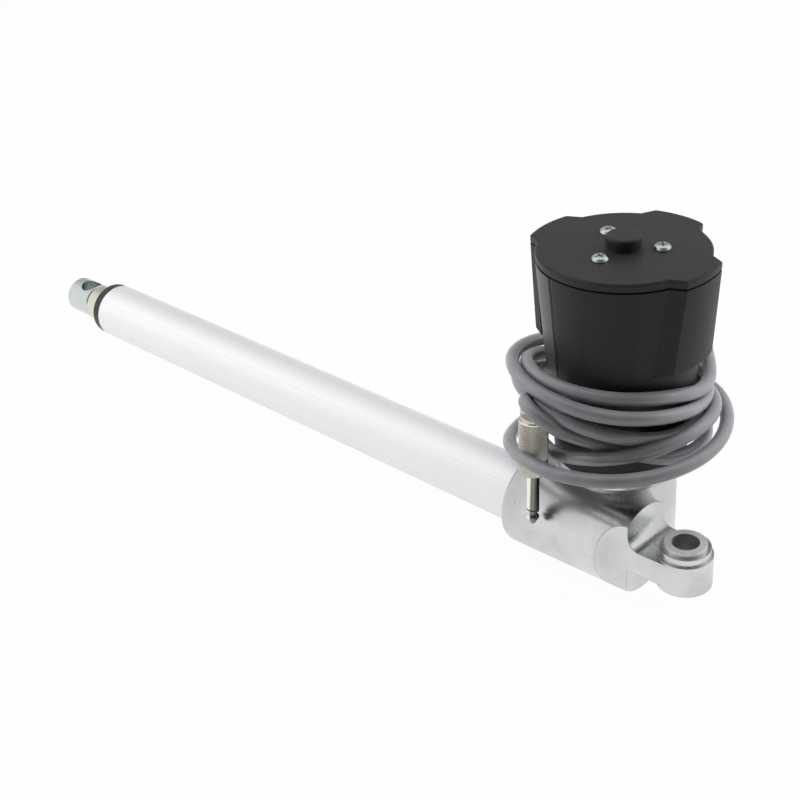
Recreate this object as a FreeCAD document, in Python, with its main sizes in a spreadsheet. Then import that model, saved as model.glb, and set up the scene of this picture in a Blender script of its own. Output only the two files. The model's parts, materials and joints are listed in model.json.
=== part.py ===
import FreeCAD, Part
import os
import re
import Sketcher
from FreeCAD import Placement, Rotation, Vector

# Electric linear actuator, millimetres and degrees.
# Origin: centre line of the rear eye on the spindle axis. +X runs along the tube to the rod end,
# +Z is up, along the motor axis and along the axes of both pin bores.

DIMENSIONS = {
    # Die-cast gear housing
    "barrel_rear_x": 24.0,
    "barrel_length": 74.0,
    "barrel_front_radius": 25.0,
    "barrel_rear_radius": 24.0,
    "barrel_front_round": 3.0,
    "rear_wall": 10.0,
    "chamber_radius": 21.5,
    "neck_radius": 29.0,
    "neck_bottom_z": -21.0,
    "motor_seat_z": 34.0,
    "flange_radius": 33.0,
    "flange_thickness": 5.0,
    "scoop_radius": 13.2,
    "arm_root_half_width": 14.4,
    "arm_thickness": 13.0,
    "arm_root_fillet": 7.0,
    "eye_radius": 13.8,
    "eye_top_z": 7.5,
    "eye_bottom_z": -9.5,
    "shoulder_radius": 12.6,
    "shoulder_top_z": 11.5,
    "bush_outer_radius": 10.5,
    "bush_top_z": 13.7,
    "pin_bore": 13.5,
    # Tube, end cap and rod
    "tube_od": 35.0,
    "tube_wall": 2.0,
    "tube_insert": 24.0,
    "collar_inset": 2.0,
    "cap_head_radius": 17.2,
    "cap_head_length": 7.2,
    "cap_head_round": 1.6,
    "cap_sleeve_length": 20.0,
    "wiper_inset": 2.2,
    "wiper_width": 3.0,
    "wiper_depth": 2.0,
    "guide_clearance": 0.08,
    "rod_od": 23.0,
    "rod_wall": 2.5,
    "rod_length": 362.8,
    "rod_neck": 14.2,
    "rod_end_radius": 11.75,
    "rod_end_length": 23.1,
    "rod_end_chamfer": 0.9,
    "rod_end_spigot": 22.8,
    "rod_hole_inset": 14.7,
    # Spindle drive
    "spindle_radius": 6.0,
    "spindle_rear_gap": 1.0,
    "thrust_collar_radius": 8.5,
    "nut_gap": 6.0,
    "nut_body_length": 16.0,
    "nut_spigot_length": 14.0,
    "nut_thread_clearance": 0.06,
    "nut_slide_clearance": 0.3,
    "spindle_front_gap": 12.0,
    "stop_length": 6.0,
    "stop_inset": 2.0,
    "stop_clearance": 0.5,
    "wheel_tip_radius": 19.5,
    "wheel_root_radius": 16.2,
    "wheel_root_clearance": 0.3,
    "wheel_width": 14.0,
    "wheel_tooth_tip": 0.84,
    "wheel_tooth_root": 3.5,
    "wheel_tooth_sink": 0.5,
    "clamp_nut_radius": 10.0,
    "clamp_nut_length": 6.0,
    "bearing_od": 28.0,
    "bearing_width": 8.0,
    "ball_radius": 2.3,
    "ball_clearance": 0.06,
    "cage_wall": 1.4,
    "cage_width": 6.0,
    # Motor
    "motor_x": 57.0,
    "worm_centre_distance": 24.0,
    "shaft_radius": 4.0,
    "shaft_clearance": 0.06,
    "worm_radius": 4.35,
    "worm_tip_radius": 7.4,
    "worm_thread_tip": 1.1,
    "worm_thread_root": 3.2,
    "worm_thread_sink": 0.2,
    "worm_length": 26.0,
    "worm_turns": 3.5,
    "worm_bore_radius": 9.0,
    "lower_bearing_length": 5.0,
    "lower_bearing_radius": 8.0,
    "upper_bearing_length": 8.0,
    "front_plate_thickness": 4.0,
    "front_plate_radius": 28.8,
    "plate_screw_circle": 18.0,
    "plate_screw_radius": 2.0,
    "plate_screw_depth": 9.0,
    "plate_head_radius": 3.6,
    "plate_head_height": 3.0,
    "can_radius": 28.5,
    "can_wall": 2.0,
    "can_length": 80.0,
    "can_boss_radius": 8.0,
    "can_boss_height": 6.0,
    "rear_bush_radius": 6.6,
    "magnet_thickness": 3.5,
    "magnet_foot": 12.0,
    "magnet_end_room": 32.0,
    "magnet_gap": 22.0,
    "air_gap": 0.6,
    "core_set_back": 4.0,
    "winding_radius": 18.5,
    "winding_height": 8.0,
    "commutator_radius": 9.5,
    "commutator_gap": 1.0,
    "commutator_height": 8.5,
    "brush_gap": 0.3,
    "brush_width": 6.0,
    "brush_reach": 8.0,
    "brush_plate_radius": 26.0,
    "brush_plate_hole": 10.5,
    "brush_plate_thickness": 2.0,
    # Moulded motor cover, lid and duct panel
    "cover_bottom_radius": 33.1,
    "cover_top_radius": 42.0,
    "cover_wall": 3.0,
    "cover_floor": 3.0,
    "lid_top_z": 146.0,
    "lid_thickness": 4.8,
    "lid_chamfer": 0.9,
    "lid_gap": 0.9,
    "lid_reveal": 1.3,
    "lid_lip_depth": 3.0,
    "lid_lip_wall": 2.0,
    "fit_gap": 0.2,
    "lobe_half_width": 13.0,
    "lobe_flare": 0.48,
    "lobe_top_rise": 5.7,
    "lobe_bottom_rise": 5.9,
    "lobe_bottom_z": 97.0,
    "lobe_slope": 4.0,
    "lobe_wall": 2.6,
    "lid_boss_radius": 8.6,
    "lid_boss_height": 6.5,
    "lid_boss_round": 1.4,
    "lid_post_radius": 4.2,
    "duct_start_angle": 24.0,
    "duct_span_angle": 47.0,
    "duct_depth": 1.6,
    "duct_gap": 0.5,
    "duct_bottom_z": 60.0,
    "screw_circle_radius": 18.3,
    "screw_head_radius": 4.35,
    "screw_head_height": 2.4,
    "screw_head_round": 1.2,
    "screw_shank_radius": 1.9,
    "screw_length": 29.5,
    # Cable, coil and plug
    "cable_diameter": 7.0,
    "cable_boss_radius": 7.5,
    "cable_boss_length": 16.0,
    "cable_boss_rise": 6.0,
    "cable_boss_angle": -54.0,
    "cable_boss_z": 86.0,
    "gland_radius": 6.2,
    "gland_mouth_radius": 4.7,
    "gland_length": 20.0,
    "gland_spigot_radius": 4.6,
    "gland_spigot_length": 12.0,
    "lead_length": 8.0,
    "coil_clearance": 1.0,
    "coil_bottom_z": 42.0,
    "coil_waist_z": 64.0,
    "coil_top_z": 92.0,
    "coil_inner_radius": 41.5,
    "coil_lower_radius": 61.0,
    "coil_upper_radius": 54.0,
    "coil_lower_shift": 4.0,
    "coil_upper_shift": 5.5,
    "coil_shift_angle": 36.0,
    "coil_tilt": 6.0,
    "coil_round": 6.0,
    "plug_tip_x": 71.75,
    "plug_tip_y": 29.05,
    "plug_tip_z": 9.6,
    "plug_lean": 3.9,
    "plug_lean_angle": -70.0,
    "plug_pin_radius": 3.175,
    "plug_pin_length": 30.5,
    "plug_tip_length": 8.0,
    "plug_waist_radius": 2.2,
    "plug_insulator_length": 0.8,
    "plug_collar_radius": 7.2,
    "plug_collar_length": 5.5,
    "plug_shell_radius": 7.5,
    "plug_shell_length": 24.0,
    "plug_cap_radius": 6.7,
    "plug_cap_length": 5.0,
}

LID_SCREWS = 3
PLATE_SCREWS = 3
WHEEL_TEETH = 24
BALLS = 8
LOBE_TURNS = (0, 180, -90)

ALONG_X = Rotation(Vector(0, 1, 0), 90)
UPRIGHT = Rotation()

doc = FreeCAD.newDocument("linear_actuator")
sheet = doc.addObject("Spreadsheet::Sheet", "Dims")
for row, (alias, number) in enumerate(DIMENSIONS.items(), start=1):
    sheet.set(f"A{row}", alias)
    sheet.set(f"B{row}", str(number))
    sheet.setAlias(f"B{row}", alias)
doc.recompute()

NODES = []

# Lengths that several pieces share, written with the sheet's names
BARREL_FRONT = "(barrel_rear_x + barrel_length)"
BEARING_REAR = "(barrel_rear_x + rear_wall)"
BEARING_FRONT = f"({BEARING_REAR} + bearing_width)"
WHEEL_REAR = "(motor_x - wheel_width / 2)"
WHEEL_FRONT = "(motor_x + wheel_width / 2)"
NUT_REAR = f"({BARREL_FRONT} + nut_gap)"
ROD_REAR = f"({NUT_REAR} + nut_body_length)"
ROD_FRONT = f"({ROD_REAR} + rod_length)"
ROD_BORE = "(rod_od / 2 - rod_wall)"
TUBE_REAR = f"({BARREL_FRONT} - tube_insert)"
TUBE_FRONT = f"({ROD_FRONT} - rod_neck - cap_head_length)"
TUBE_BORE = "(tube_od / 2 - tube_wall)"
CAP_BORE = "(rod_od / 2 + guide_clearance)"
SPINDLE_REAR = f"({BEARING_REAR} + spindle_rear_gap)"
SPINDLE_FRONT = f"({ROD_FRONT} - rod_end_spigot - spindle_front_gap)"
BALL_ORBIT = "((bearing_od / 2 + spindle_radius) / 2)"
WHEEL_PITCH_RADIUS = "((wheel_tip_radius + wheel_root_radius + wheel_root_clearance) / 2)"
WORM_PITCH = f"(2 * pi * {WHEEL_PITCH_RADIUS} / {WHEEL_TEETH})"
WORM_PITCH_RADIUS = f"(worm_centre_distance - {WHEEL_PITCH_RADIUS})"
TOOTH_TWIST = f"(wheel_width / ({WHEEL_TEETH} * {WORM_PITCH_RADIUS}) * 180 / pi)"
MOTOR_Y = "(-worm_centre_distance)"
SHAFT_BORE = "(shaft_radius + shaft_clearance)"
UPPER_BEARING_Z = "(motor_seat_z - upper_bearing_length)"
LOWER_BEARING_Z = "(-worm_length / 2 - lower_bearing_length - 1)"
CAN_BOTTOM = "(motor_seat_z + front_plate_thickness)"
CAN_TOP = f"({CAN_BOTTOM} + can_length)"
BUSH_TOP = f"({CAN_TOP} + can_boss_height)"
CAN_BORE = "(can_radius - can_wall)"
CORE_RADIUS = f"({CAN_BORE} - magnet_thickness - air_gap)"
MAGNET_BOTTOM = f"({CAN_BOTTOM} + magnet_foot)"
MAGNET_HEIGHT = "(can_length - magnet_end_room)"
CORE_BOTTOM = f"({MAGNET_BOTTOM} + core_set_back)"
CORE_HEIGHT = f"({MAGNET_HEIGHT} - 2 * core_set_back)"
COMMUTATOR_BOTTOM = f"({CORE_BOTTOM} + {CORE_HEIGHT} + winding_height + commutator_gap)"
COVER_TOP = "(lid_top_z - lid_thickness)"
COVER_HEIGHT = f"({COVER_TOP} - motor_seat_z)"
COVER_TAPER = f"((cover_top_radius - cover_bottom_radius) / {COVER_HEIGHT})"
LOBE_TOP_RADIUS = "(cover_top_radius + lobe_top_rise)"
LOBE_BOTTOM_RADIUS = (f"(cover_bottom_radius + {COVER_TAPER} * (lobe_bottom_z - motor_seat_z)"
                      " + lobe_bottom_rise)")
CABLE_RADIUS = "(cable_diameter / 2)"
CABLE_ORBIT = (f"(cover_bottom_radius + {COVER_TAPER} * (cable_boss_z - motor_seat_z)"
               " + cable_boss_rise)")


def value(expression):
    """Number that an expression of sheet names gives."""
    return float(sheet.evalExpression(expression))


def linked(expression):
    """The expression with each sheet name pointing at the sheet."""
    def full_name(word):
        return f"Dims.{word[0]}" if word[0] in DIMENSIONS else word[0]

    return re.sub(r"[a-z]\w*", full_name, expression)


def bind(thing, **expressions):
    """Bind properties of an object to expressions of sheet names."""
    for name, expression in expressions.items():
        thing.setExpression(name, linked(expression))


def place(thing, at, turn=UPRIGHT):
    """Put an object at bound coordinates with a fixed turn."""
    thing.Placement = Placement(Vector(*(value(part) for part in at)), turn)
    for axis, expression in zip("xyz", at):
        thing.setExpression(f"Placement.Base.{axis}", linked(expression))
    return thing


def node(thing, label):
    """Name an object as one sub-part of the actuator."""
    thing.Label = label
    NODES.append(thing)
    return thing


def cylinder(name, radius, length, at, turn=UPRIGHT):
    """Cylinder standing on a point, along Z before its turn."""
    solid = doc.addObject("Part::Cylinder", name)
    bind(solid, Radius=radius, Height=length)
    return place(solid, at, turn)


def cone(name, bottom, top, length, at, turn=UPRIGHT):
    """Truncated cone standing on a point."""
    solid = doc.addObject("Part::Cone", name)
    bind(solid, Radius1=bottom, Radius2=top, Height=length)
    return place(solid, at, turn)


def box(name, size, at, turn=UPRIGHT):
    """Box from its low corner."""
    solid = doc.addObject("Part::Box", name)
    bind(solid, Length=size[0], Width=size[1], Height=size[2])
    return place(solid, at, turn)


def cut(name, base, *tools):
    """Base less its tools."""
    for index, tool in enumerate(tools):
        result = doc.addObject("Part::Cut", f"{name}_cut{index}")
        result.Base = base
        result.Tool = tool
        base = result
    return base


def fuse(name, *shapes):
    """Shapes joined into one solid."""
    result = doc.addObject("Part::MultiFuse", name)
    result.Shapes = list(shapes)
    return result


def common(name, base, tool):
    """What two shapes share."""
    result = doc.addObject("Part::Common", name)
    result.Base = base
    result.Tool = tool
    return result


def group(name, *shapes):
    """Separate solids that share one node."""
    result = doc.addObject("Part::Compound", name)
    result.Links = list(shapes)
    return result


def ring(name, outer, inner, length, at, turn=UPRIGHT):
    """Plain ring or tube."""
    return cut(name, cylinder(f"{name}_outer", outer, length, at, turn),
               cylinder(f"{name}_inner", inner, length, at, turn))


def new_body(label):
    """Body that becomes one sub-part."""
    return node(doc.addObject("PartDesign::Body", label), label)


def new_sketch(body, name, role, offset="0"):
    """Sketch on one of the body's own origin planes, lifted by an offset."""
    sketch = body.newObject("Sketcher::SketchObject", name)
    plane = next(item for item in body.Origin.OriginFeatures if item.Role == role)
    sketch.AttachmentSupport = (plane, "")
    sketch.MapMode = "FlatFace"
    sketch.setExpression("AttachmentOffset.Base.z", linked(offset))
    return sketch


def pin_point(sketch, geometry, position, at):
    """Hold a point of a sketch at bound coordinates."""
    for kind, expression in zip(("DistanceX", "DistanceY"), at):
        index = sketch.addConstraint(
            Sketcher.Constraint(kind, -1, 1, geometry, position, value(expression)))
        sketch.setExpression(f"Constraints[{index}]", linked(expression))


def outline(sketch, points):
    """Closed outline of straight runs through bound points."""
    corners = [Vector(value(x), value(y), 0) for x, y in points]
    count = len(corners)
    for index in range(count):
        sketch.addGeometry(Part.LineSegment(corners[index], corners[(index + 1) % count]))
    for index in range(count):
        sketch.addConstraint(Sketcher.Constraint("Coincident", index, 2, (index + 1) % count, 1))
    for index, point in enumerate(points):
        pin_point(sketch, index, 1, point)


def circle(sketch, at, radius):
    """Circle with bound centre and radius."""
    centre = Vector(value(at[0]), value(at[1]), 0)
    index = sketch.addGeometry(Part.Circle(centre, Vector(0, 0, 1), value(radius)))
    size = sketch.addConstraint(Sketcher.Constraint("Radius", index, value(radius)))
    sketch.setExpression(f"Constraints[{size}]", linked(radius))
    pin_point(sketch, index, 3, at)


def feature(body, kind, name, sketch, **expressions):
    """Feature made from a sketch, with bound sizes."""
    made = body.newObject(f"PartDesign::{kind}", name)
    made.Profile = sketch
    bind(made, **expressions)
    return made


def turned(body, kind, name, points, axis="H_Axis"):
    """Revolution or groove of a half section in the XZ plane."""
    sketch = new_sketch(body, f"{name}_section", "XZ_Plane")
    outline(sketch, points)
    made = feature(body, kind, name, sketch)
    made.ReferenceAxis = (sketch, [axis])
    made.Angle = 360
    return made


def edges_where(shape, test):
    """Names of the edges that pass a test."""
    return [f"Edge{index}" for index, edge in enumerate(shape.Edges, start=1) if test(edge)]


def near(first, second, reach=1e-3):
    """Whether two lengths agree."""
    return abs(first - second) < reach


def dress(body, kind, name, test, **expressions):
    """Fillet or chamfer on the edges of the body's tip that pass a test."""
    doc.recompute()
    base = body.Tip
    made = body.newObject(f"PartDesign::{kind}", name)
    made.Base = (base, edges_where(base.Shape, test))
    bind(made, **expressions)
    return made


def rounded(name, base, radius, test):
    """Part fillet of the edges that pass a test."""
    doc.recompute()
    size = value(radius)
    made = doc.addObject("Part::Fillet", name)
    made.Base = base
    made.Edges = [(index, size, size) for index, edge in enumerate(base.Shape.Edges, start=1)
                  if test(edge)]
    return made


def gear_housing():
    """Casting: barrel, worm neck with motor flange, scooped sides, arm and eye boss."""
    body = new_body("gear_housing")
    turned(body, "Revolution", "barrel", [
        ("barrel_rear_x", "0"), (BARREL_FRONT, "0"),
        (BARREL_FRONT, "barrel_front_radius"), ("barrel_rear_x", "barrel_rear_radius")])
    dress(body, "Fillet", "barrel_front_edge",
          lambda edge: near(edge.BoundBox.XMin, value(BARREL_FRONT)) and near(edge.BoundBox.XLength, 0),
          Radius="barrel_front_round")

    scoops = new_sketch(body, "scoop_circles", "XY_Plane")
    for side in ("", "-"):
        circle(scoops, ("barrel_rear_x", f"{side}(arm_root_half_width + scoop_radius)"), "scoop_radius")
    scoop_cut = feature(body, "Pocket", "side_scoops", scoops, Length="4 * barrel_front_radius")
    scoop_cut.SideType = "Symmetric"

    arm = new_sketch(body, "arm_plan", "XY_Plane")
    outline(arm, [("0", "eye_radius"), ("0", "-eye_radius"),
                  ("barrel_rear_x", "-arm_root_half_width"),
                  ("barrel_rear_x + rear_wall / 2", "-arm_root_half_width"),
                  ("barrel_rear_x + rear_wall / 2", "arm_root_half_width"),
                  ("barrel_rear_x", "arm_root_half_width")])
    feature(body, "Pad", "arm", arm, Length="arm_thickness").SideType = "Symmetric"
    dress(body, "Fillet", "arm_root",
          lambda edge: near(edge.BoundBox.XMin, value("barrel_rear_x"))
          and near(edge.BoundBox.XMax, value("barrel_rear_x"))
          and near(edge.BoundBox.ZMin, value("arm_thickness / 2"))
          and near(edge.BoundBox.ZMax, value("arm_thickness / 2")),
          Radius="arm_root_fillet")

    eye = new_sketch(body, "eye_circle", "XY_Plane", "eye_bottom_z")
    circle(eye, ("0", "0"), "eye_radius")
    feature(body, "Pad", "eye_boss", eye, Length="eye_top_z - eye_bottom_z")
    shoulder = new_sketch(body, "shoulder_circle", "XY_Plane", "eye_top_z")
    circle(shoulder, ("0", "0"), "shoulder_radius")
    feature(body, "Pad", "eye_shoulder", shoulder, Length="shoulder_top_z - eye_top_z")

    neck = new_sketch(body, "neck_circle", "XY_Plane", "neck_bottom_z")
    circle(neck, ("motor_x", MOTOR_Y), "neck_radius")
    feature(body, "Pad", "worm_neck", neck, Length="motor_seat_z - neck_bottom_z")
    flange = new_sketch(body, "flange_circle", "XY_Plane", "motor_seat_z - flange_thickness")
    circle(flange, ("motor_x", MOTOR_Y), "flange_radius")
    feature(body, "Pad", "motor_flange", flange, Length="flange_thickness")

    turned(body, "Groove", "gear_chamber", [
        (BEARING_REAR, "0"), (BARREL_FRONT, "0"), (BARREL_FRONT, "chamber_radius"),
        (f"{BEARING_FRONT} + 1", "chamber_radius"), (f"{BEARING_FRONT} + 1", "bearing_od / 2"),
        (BEARING_REAR, "bearing_od / 2")])
    worm_bore = new_sketch(body, "worm_bore_circle", "XY_Plane",
                           f"{LOWER_BEARING_Z} + lower_bearing_length")
    circle(worm_bore, ("motor_x", MOTOR_Y), "worm_bore_radius")
    feature(body, "Pocket", "worm_bore", worm_bore, Length="2 * motor_seat_z").Reversed = True
    bearing_bore = new_sketch(body, "lower_bearing_circle", "XY_Plane", LOWER_BEARING_Z)
    circle(bearing_bore, ("motor_x", MOTOR_Y), "lower_bearing_radius")
    feature(body, "Pocket", "lower_bearing_seat", bearing_bore, Length="worm_length").Reversed = True
    bush_hole = new_sketch(body, "bush_circle", "XY_Plane", "eye_bottom_z")
    circle(bush_hole, ("0", "0"), "bush_outer_radius")
    feature(body, "Pocket", "bush_seat", bush_hole, Length="2 * bush_top_z").Reversed = True
    plate_holes = new_sketch(body, "plate_screw_circles", "XY_Plane", "motor_seat_z")
    for x, y, _ in plate_spots("motor_seat_z"):
        circle(plate_holes, (x, y), "plate_screw_radius")
    feature(body, "Pocket", "plate_screw_holes", plate_holes, Length="plate_screw_depth")


def eye_bush():
    """Steel bush pressed into the rear eye, proud on top."""
    node(ring("eye_bush", "bush_outer_radius", "pin_bore / 2", "bush_top_z - eye_bottom_z",
              ("0", "0", "eye_bottom_z")), "eye_bush")


def outer_tube():
    """Aluminium guide tube and the collar that centres it in the housing."""
    node(ring("outer_tube", "tube_od / 2", TUBE_BORE, f"{TUBE_FRONT} - {TUBE_REAR}",
              (TUBE_REAR, "0", "0"), ALONG_X), "outer_tube")
    node(ring("tube_collar", "chamber_radius", "tube_od / 2", "tube_insert - collar_inset",
              (TUBE_REAR, "0", "0"), ALONG_X), "tube_collar")


def end_cap():
    """Black cap with guide sleeve, and the rod wiper in its groove."""
    body = new_body("end_cap")
    head_front = f"{TUBE_FRONT} + cap_head_length"
    turned(body, "Revolution", "cap_section", [
        (f"{TUBE_FRONT} - cap_sleeve_length", CAP_BORE), (head_front, CAP_BORE),
        (head_front, "cap_head_radius"), (TUBE_FRONT, "cap_head_radius"),
        (TUBE_FRONT, TUBE_BORE), (f"{TUBE_FRONT} - cap_sleeve_length", TUBE_BORE)])
    dress(body, "Fillet", "cap_edge",
          lambda edge: near(edge.BoundBox.XMin, value(head_front))
          and near(edge.BoundBox.YLength, value("2 * cap_head_radius"), 0.01),
          Radius="cap_head_round")
    wiper_front = f"{head_front} - wiper_inset"
    turned(body, "Groove", "wiper_groove", [
        (f"{wiper_front} - wiper_width", CAP_BORE), (wiper_front, CAP_BORE),
        (wiper_front, f"{CAP_BORE} + wiper_depth"),
        (f"{wiper_front} - wiper_width", f"{CAP_BORE} + wiper_depth")])
    node(ring("rod_wiper", f"{CAP_BORE} + wiper_depth", CAP_BORE, "wiper_width",
              (f"{wiper_front} - wiper_width", "0", "0"), ALONG_X), "rod_wiper")


def rod():
    """Sliding rod: steel tube, rod end with its cross bore, and the spindle nut."""
    node(ring("rod_tube", "rod_od / 2", ROD_BORE, "rod_length", (ROD_REAR, "0", "0"), ALONG_X), "rod_tube")

    end = new_body("rod_end")
    tip = f"{ROD_FRONT} + rod_end_length"
    turned(end, "Revolution", "rod_end_section", [
        (f"{ROD_FRONT} - rod_end_spigot", "0"), (tip, "0"),
        (tip, "rod_end_radius - rod_end_chamfer"), (f"{tip} - rod_end_chamfer", "rod_end_radius"),
        (f"{ROD_FRONT} + rod_end_chamfer", "rod_end_radius"), (ROD_FRONT, "rod_end_radius - rod_end_chamfer"),
        (ROD_FRONT, ROD_BORE), (f"{ROD_FRONT} - rod_end_spigot", ROD_BORE)])
    bore = new_sketch(end, "pin_bore_circle", "XY_Plane")
    circle(bore, (f"{tip} - rod_hole_inset", "0"), "pin_bore / 2")
    feature(end, "Pocket", "pin_bore", bore, Length="4 * rod_end_radius").SideType = "Symmetric"

    nut = new_body("spindle_nut")
    nut_front = f"{ROD_REAR} + nut_spigot_length"
    nut_bore = "spindle_radius + nut_thread_clearance"
    turned(nut, "Revolution", "nut_section", [
        (NUT_REAR, nut_bore), (nut_front, nut_bore), (nut_front, ROD_BORE), (ROD_REAR, ROD_BORE),
        (ROD_REAR, f"{TUBE_BORE} - nut_slide_clearance"), (NUT_REAR, f"{TUBE_BORE} - nut_slide_clearance")])


def slanted(across, out, turn):
    """Point of a tooth turned about the wheel's axis."""
    return (f"{across} * cos({turn}) - {out} * sin({turn})", f"{across} * sin({turn}) + {out} * cos({turn})")


def spindle_drive():
    """Spindle with thrust collar, worm wheel, clamp nut and end stop."""
    spindle = new_body("spindle")
    turned(spindle, "Revolution", "spindle_section", [
        (SPINDLE_REAR, "0"), (SPINDLE_FRONT, "0"), (SPINDLE_FRONT, "spindle_radius"),
        (WHEEL_REAR, "spindle_radius"), (WHEEL_REAR, "thrust_collar_radius"),
        (BEARING_FRONT, "thrust_collar_radius"), (BEARING_FRONT, "spindle_radius"),
        (SPINDLE_REAR, "spindle_radius")])

    wheel = new_body("worm_wheel")
    disc = new_sketch(wheel, "wheel_disc", "YZ_Plane", WHEEL_REAR)
    circle(disc, ("0", "0"), "wheel_root_radius")
    circle(disc, ("0", "0"), "spindle_radius")
    feature(wheel, "Pad", "wheel_blank", disc, Length="wheel_width")
    flanks = []
    for name, at, side in (("tooth_rear", WHEEL_REAR, "-"), ("tooth_front", WHEEL_FRONT, "")):
        flanks.append(new_sketch(wheel, name, "YZ_Plane", at))
        outline(flanks[-1], [slanted(half, radius, f"({side}{TOOTH_TWIST} / 2)") for half, radius in (
            ("(-wheel_tooth_root / 2)", "(wheel_root_radius - wheel_tooth_sink)"),
            ("(wheel_tooth_root / 2)", "(wheel_root_radius - wheel_tooth_sink)"),
            ("(wheel_tooth_tip / 2)", "wheel_tip_radius"),
            ("(-wheel_tooth_tip / 2)", "wheel_tip_radius"))])
    first = feature(wheel, "AdditiveLoft", "tooth", flanks[0])
    first.Sections = [flanks[1]]
    first.Ruled = True
    teeth = wheel.newObject("PartDesign::PolarPattern", "teeth")
    teeth.Originals = [first]
    teeth.Axis = (disc, ["N_Axis"])
    teeth.Angle = 360
    teeth.Occurrences = WHEEL_TEETH
    wheel.Tip = teeth

    clamp = new_body("clamp_nut")
    hexagon = new_sketch(clamp, "hexagon", "YZ_Plane", WHEEL_FRONT)
    outline(hexagon, [(f"clamp_nut_radius * cos({60 * side})", f"clamp_nut_radius * sin({60 * side})")
                      for side in range(6)])
    circle(hexagon, ("0", "0"), "spindle_radius")
    feature(clamp, "Pad", "hexagon_pad", hexagon, Length="clamp_nut_length")

    node(ring("spindle_stop", f"{ROD_BORE} - stop_clearance", "spindle_radius", "stop_length",
              (f"{SPINDLE_FRONT} - stop_inset - stop_length", "0", "0"), ALONG_X), "spindle_stop")


def spindle_bearing():
    """Deep-groove ball bearing behind the worm wheel: races, cage and balls."""
    seat = (BEARING_REAR, "0", "0")
    node(ring("bearing_outer_race", "bearing_od / 2", f"{BALL_ORBIT} + ball_radius + ball_clearance",
              "bearing_width", seat, ALONG_X), "bearing_outer_race")
    node(ring("bearing_inner_race", f"{BALL_ORBIT} - ball_radius - ball_clearance", "spindle_radius",
              "bearing_width", seat, ALONG_X), "bearing_inner_race")
    middle = f"{BEARING_REAR} + bearing_width / 2"
    balls = []
    pockets = []
    for index in range(BALLS):
        turn = f"{index * 360 / BALLS}"
        spot = (middle, f"{BALL_ORBIT} * cos({turn})", f"{BALL_ORBIT} * sin({turn})")
        ball = doc.addObject("Part::Sphere", f"ball{index}")
        bind(ball, Radius="ball_radius")
        balls.append(place(ball, spot))
        pocket = doc.addObject("Part::Sphere", f"ball_pocket{index}")
        bind(pocket, Radius="ball_radius + ball_clearance")
        pockets.append(place(pocket, spot))
    node(group("bearing_balls", *balls), "bearing_balls")
    blank = ring("cage_blank", f"{BALL_ORBIT} + cage_wall / 2", f"{BALL_ORBIT} - cage_wall / 2", "cage_width",
                 (f"{middle} - cage_width / 2", "0", "0"), ALONG_X)
    node(cut("bearing_cage", blank, *pockets), "bearing_cage")


def on_motor(z):
    """Point on the motor axis at a height."""
    return ("motor_x", MOTOR_Y, z)


def worm_shaft():
    """Motor shaft with the worm cut on its lower end."""
    body = new_body("worm_shaft")
    turned(body, "Revolution", "shaft_section", [
        ("0", LOWER_BEARING_Z), ("shaft_radius", LOWER_BEARING_Z), ("shaft_radius", "-worm_length / 2"),
        ("worm_radius", "-worm_length / 2"), ("worm_radius", "worm_length / 2"),
        ("shaft_radius", "worm_length / 2"), ("shaft_radius", BUSH_TOP), ("0", BUSH_TOP)], "V_Axis")
    start = f"(-(worm_turns / 2) * {WORM_PITCH})"
    foot = "worm_radius - worm_thread_sink"
    thread = new_sketch(body, "thread_outline", "XZ_Plane")
    outline(thread, [(foot, f"{start} - worm_thread_root / 2"),
                     ("worm_tip_radius", f"{start} - worm_thread_tip / 2"),
                     ("worm_tip_radius", f"{start} + worm_thread_tip / 2"),
                     (foot, f"{start} + worm_thread_root / 2")])
    helix = feature(body, "AdditiveHelix", "worm_thread", thread)
    helix.ReferenceAxis = (thread, ["V_Axis"])
    helix.Mode = "pitch-height-angle"
    bind(helix, Pitch=WORM_PITCH, Height=f"worm_turns * {WORM_PITCH}")
    place(body, on_motor("0"))


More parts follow.
